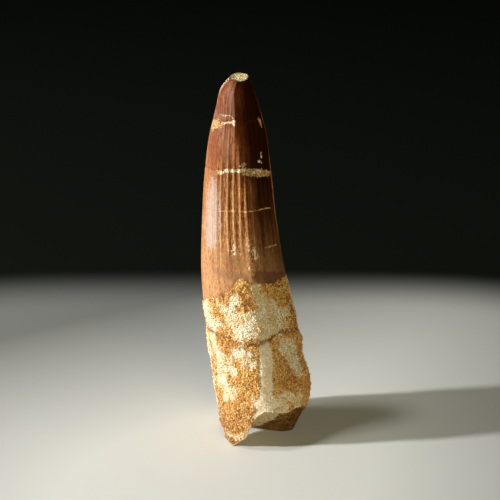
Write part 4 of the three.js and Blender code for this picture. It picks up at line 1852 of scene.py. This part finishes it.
@dataclass(frozen=True)
class Lamp:
    """A soft light: where it stands round the tooth, in degrees and metres, its size and its power.

    A lamp that gleams shows in polished places, and one that lights brightens what it shines on.
    """

    name: str
    azimuth: float
    elevation: float
    distance: float
    width: float
    height: float
    watts: float
    tint: tuple[float, float, float]
    gleams: bool = True
    lights: bool = True


@dataclass(frozen=True)
class Studio:
    """The floor, the lights and the camera.

    The camera's places and the floor's fades are in millimetres, and the floor's size in metres.
    """

    aim: tuple[float, float, float] = (-1.95, -2.46, 54.97)
    elevation: float = 20.0
    distance: float = 420.0
    lens: float = 110.68
    floor_size: float = 3.0
    floor_roughness: float = 0.7
    floor_pale: Colour = colour(230, 232, 226)
    floor_far: Colour = colour(21, 25, 20)
    # floor_middle centres the fades; the leaning fade paints the falloff of the lamps' light
    floor_middle: tuple[float, float] = (-10.0, -31.7)
    slow_fade: tuple[float, float] = (42.0, 142.0)
    slow_lean: float = 0.6
    slow_share: float = 0.28
    edge_fade: tuple[float, float] = (122.0, 160.0)
    air: Colour = (0.7, 1.0, 0.95, 1.0)
    air_strength: float = 0.003
    lamps: tuple[Lamp, ...] = (
        Lamp("key", 191, 12.5, 0.85, 0.05, 0.05, 12.5, (1.0, 0.985, 1.0)),
        Lamp("overhead", 197, 66, 0.85, 0.09, 0.09, 1.8, (1.0, 0.98, 0.95)),
        Lamp("fill", -76, 18, 1.1, 0.6, 0.5, 5.2, (1.0, 0.91, 0.62), gleams=False),
        Lamp("glint", 183, -11, 0.2, 0.14, 0.03, 0.1, (0.55, 1.0, 1.0), lights=False),
        Lamp("rim", 112, 6, 0.8, 0.12, 0.3, 3.0, (1.0, 0.96, 0.9), lights=False),
    )

    def camera(self) -> bpy.types.Object:
        """Places the camera.

        Returns:
            The camera.
        """
        data = bpy.data.cameras.new("camera")
        data.lens = self.lens
        data.clip_start = 0.01
        camera = new_object("camera", data)
        tilt = math.radians(self.elevation)
        back = Vector((0, -math.cos(tilt), math.sin(tilt)))
        camera.location = (Vector(self.aim) + back * self.distance) * MM
        camera.rotation_euler = (math.pi / 2 - tilt, 0, 0)
        bpy.context.scene.camera = camera
        return camera

    def light(self) -> None:
        """Places the lamps and sets the dim surroundings."""
        aim = Vector(self.aim) * MM
        for lamp in self.lamps:
            data = bpy.data.lights.new(lamp.name, "AREA")
            data.shape = "RECTANGLE"
            data.size = lamp.width
            data.size_y = lamp.height
            data.energy = lamp.watts
            data.color = lamp.tint
            light = new_object(lamp.name, data)
            turn, lift = math.radians(lamp.azimuth), math.radians(lamp.elevation)
            flat = math.cos(lift)
            way = Vector((flat * math.cos(turn), flat * math.sin(turn), math.sin(lift)))
            facing = way.to_track_quat("Z", "Y").to_matrix().to_4x4()
            light.matrix_world = Matrix.Translation(aim + way * lamp.distance) @ facing
            light.visible_glossy = lamp.gleams
            light.visible_diffuse = lamp.lights
        world = bpy.data.worlds.new("surroundings")
        world.use_nodes = True
        background = world.node_tree.nodes["Background"]
        background.inputs["Color"].default_value = self.air
        background.inputs["Strength"].default_value = self.air_strength
        bpy.context.scene.world = world
        bpy.context.scene.view_settings.view_transform = "Standard"

    def floor(self) -> bpy.types.Object:
        """Makes the plain pale floor, darker far from the tooth, with painted falloff of the lamps' light.

        Returns:
            The floor.
        """
        bm = bmesh.new()
        bmesh.ops.create_grid(bm, x_segments=1, y_segments=1, size=self.floor_size)
        floor = new_object("floor", new_mesh("floor", bm))
        material, nodes, shader = new_material("pale_floor")
        parts = nodes.add("SeparateXYZ", {}, Vector=nodes.millimetres())
        x, y = (nodes.minus(parts.outputs[k], self.floor_middle[k]) for k in (0, 1))
        skewed = nodes.math("MULTIPLY_ADD", x, -self.slow_lean, y)
        away, leaning = (self._box_distance(nodes, x, along) for along in (y, skewed))
        low, high = self.slow_fade
        most = 1 - self.slow_share
        # The gentle leaning fade is painted falloff of the lamps' light
        painted_falloff = nodes.add("MapRange", {}, Value=leaning, From_Min=low, From_Max=high, To_Min=0.0, To_Max=most)
        near = nodes.mix(painted_falloff.outputs["Result"], self.floor_pale, self.floor_far)
        base = nodes.mix(nodes.span(away, *self.edge_fade), near, self.floor_far)
        nodes.feed(shader.inputs["Base Color"], base)
        shader.inputs["Roughness"].default_value = self.floor_roughness
        shader.inputs["Specular IOR Level"].default_value = 0.0
        floor.data.materials.append(material)
        floor.visible_glossy = False
        return floor

    @staticmethod
    def _box_distance(nodes: Nodes, x: Socket, y: Socket) -> Socket:
        """How far out a place is on a square with rounded corners."""
        fourth = [nodes.math("POWER", nodes.math("ABSOLUTE", value), 4.0) for value in (x, y)]
        return nodes.math("POWER", nodes.plus(*fourth), 0.25)


def main() -> None:
    """Builds the scene in order."""
    logging.basicConfig(level=logging.INFO, format="%(name)s: %(message)s")
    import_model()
    studio = Studio()
    studio.camera()
    studio.light()
    studio.floor()

    effects = Effects(CrustColours())
    tooth = Tooth().build()
    tooth.data.materials.append(ToothFinish(effects).material())
    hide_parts("tooth")
    pieces = [tooth]
    dress = GrainFinish(effects).material()
    for batch in (Grains("crust_grains", (0.12, 0.35), 31), Grains("crust_sand", (0.1, 0.24), 32)):
        grains = batch.build(tooth)
        grains.data.materials.append(dress)
        pieces.append(grains)
    for piece in pieces:
        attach(piece, "root")
        LOG.info("%s is dressed", piece.name)


if __name__ == "__main__":
    main()
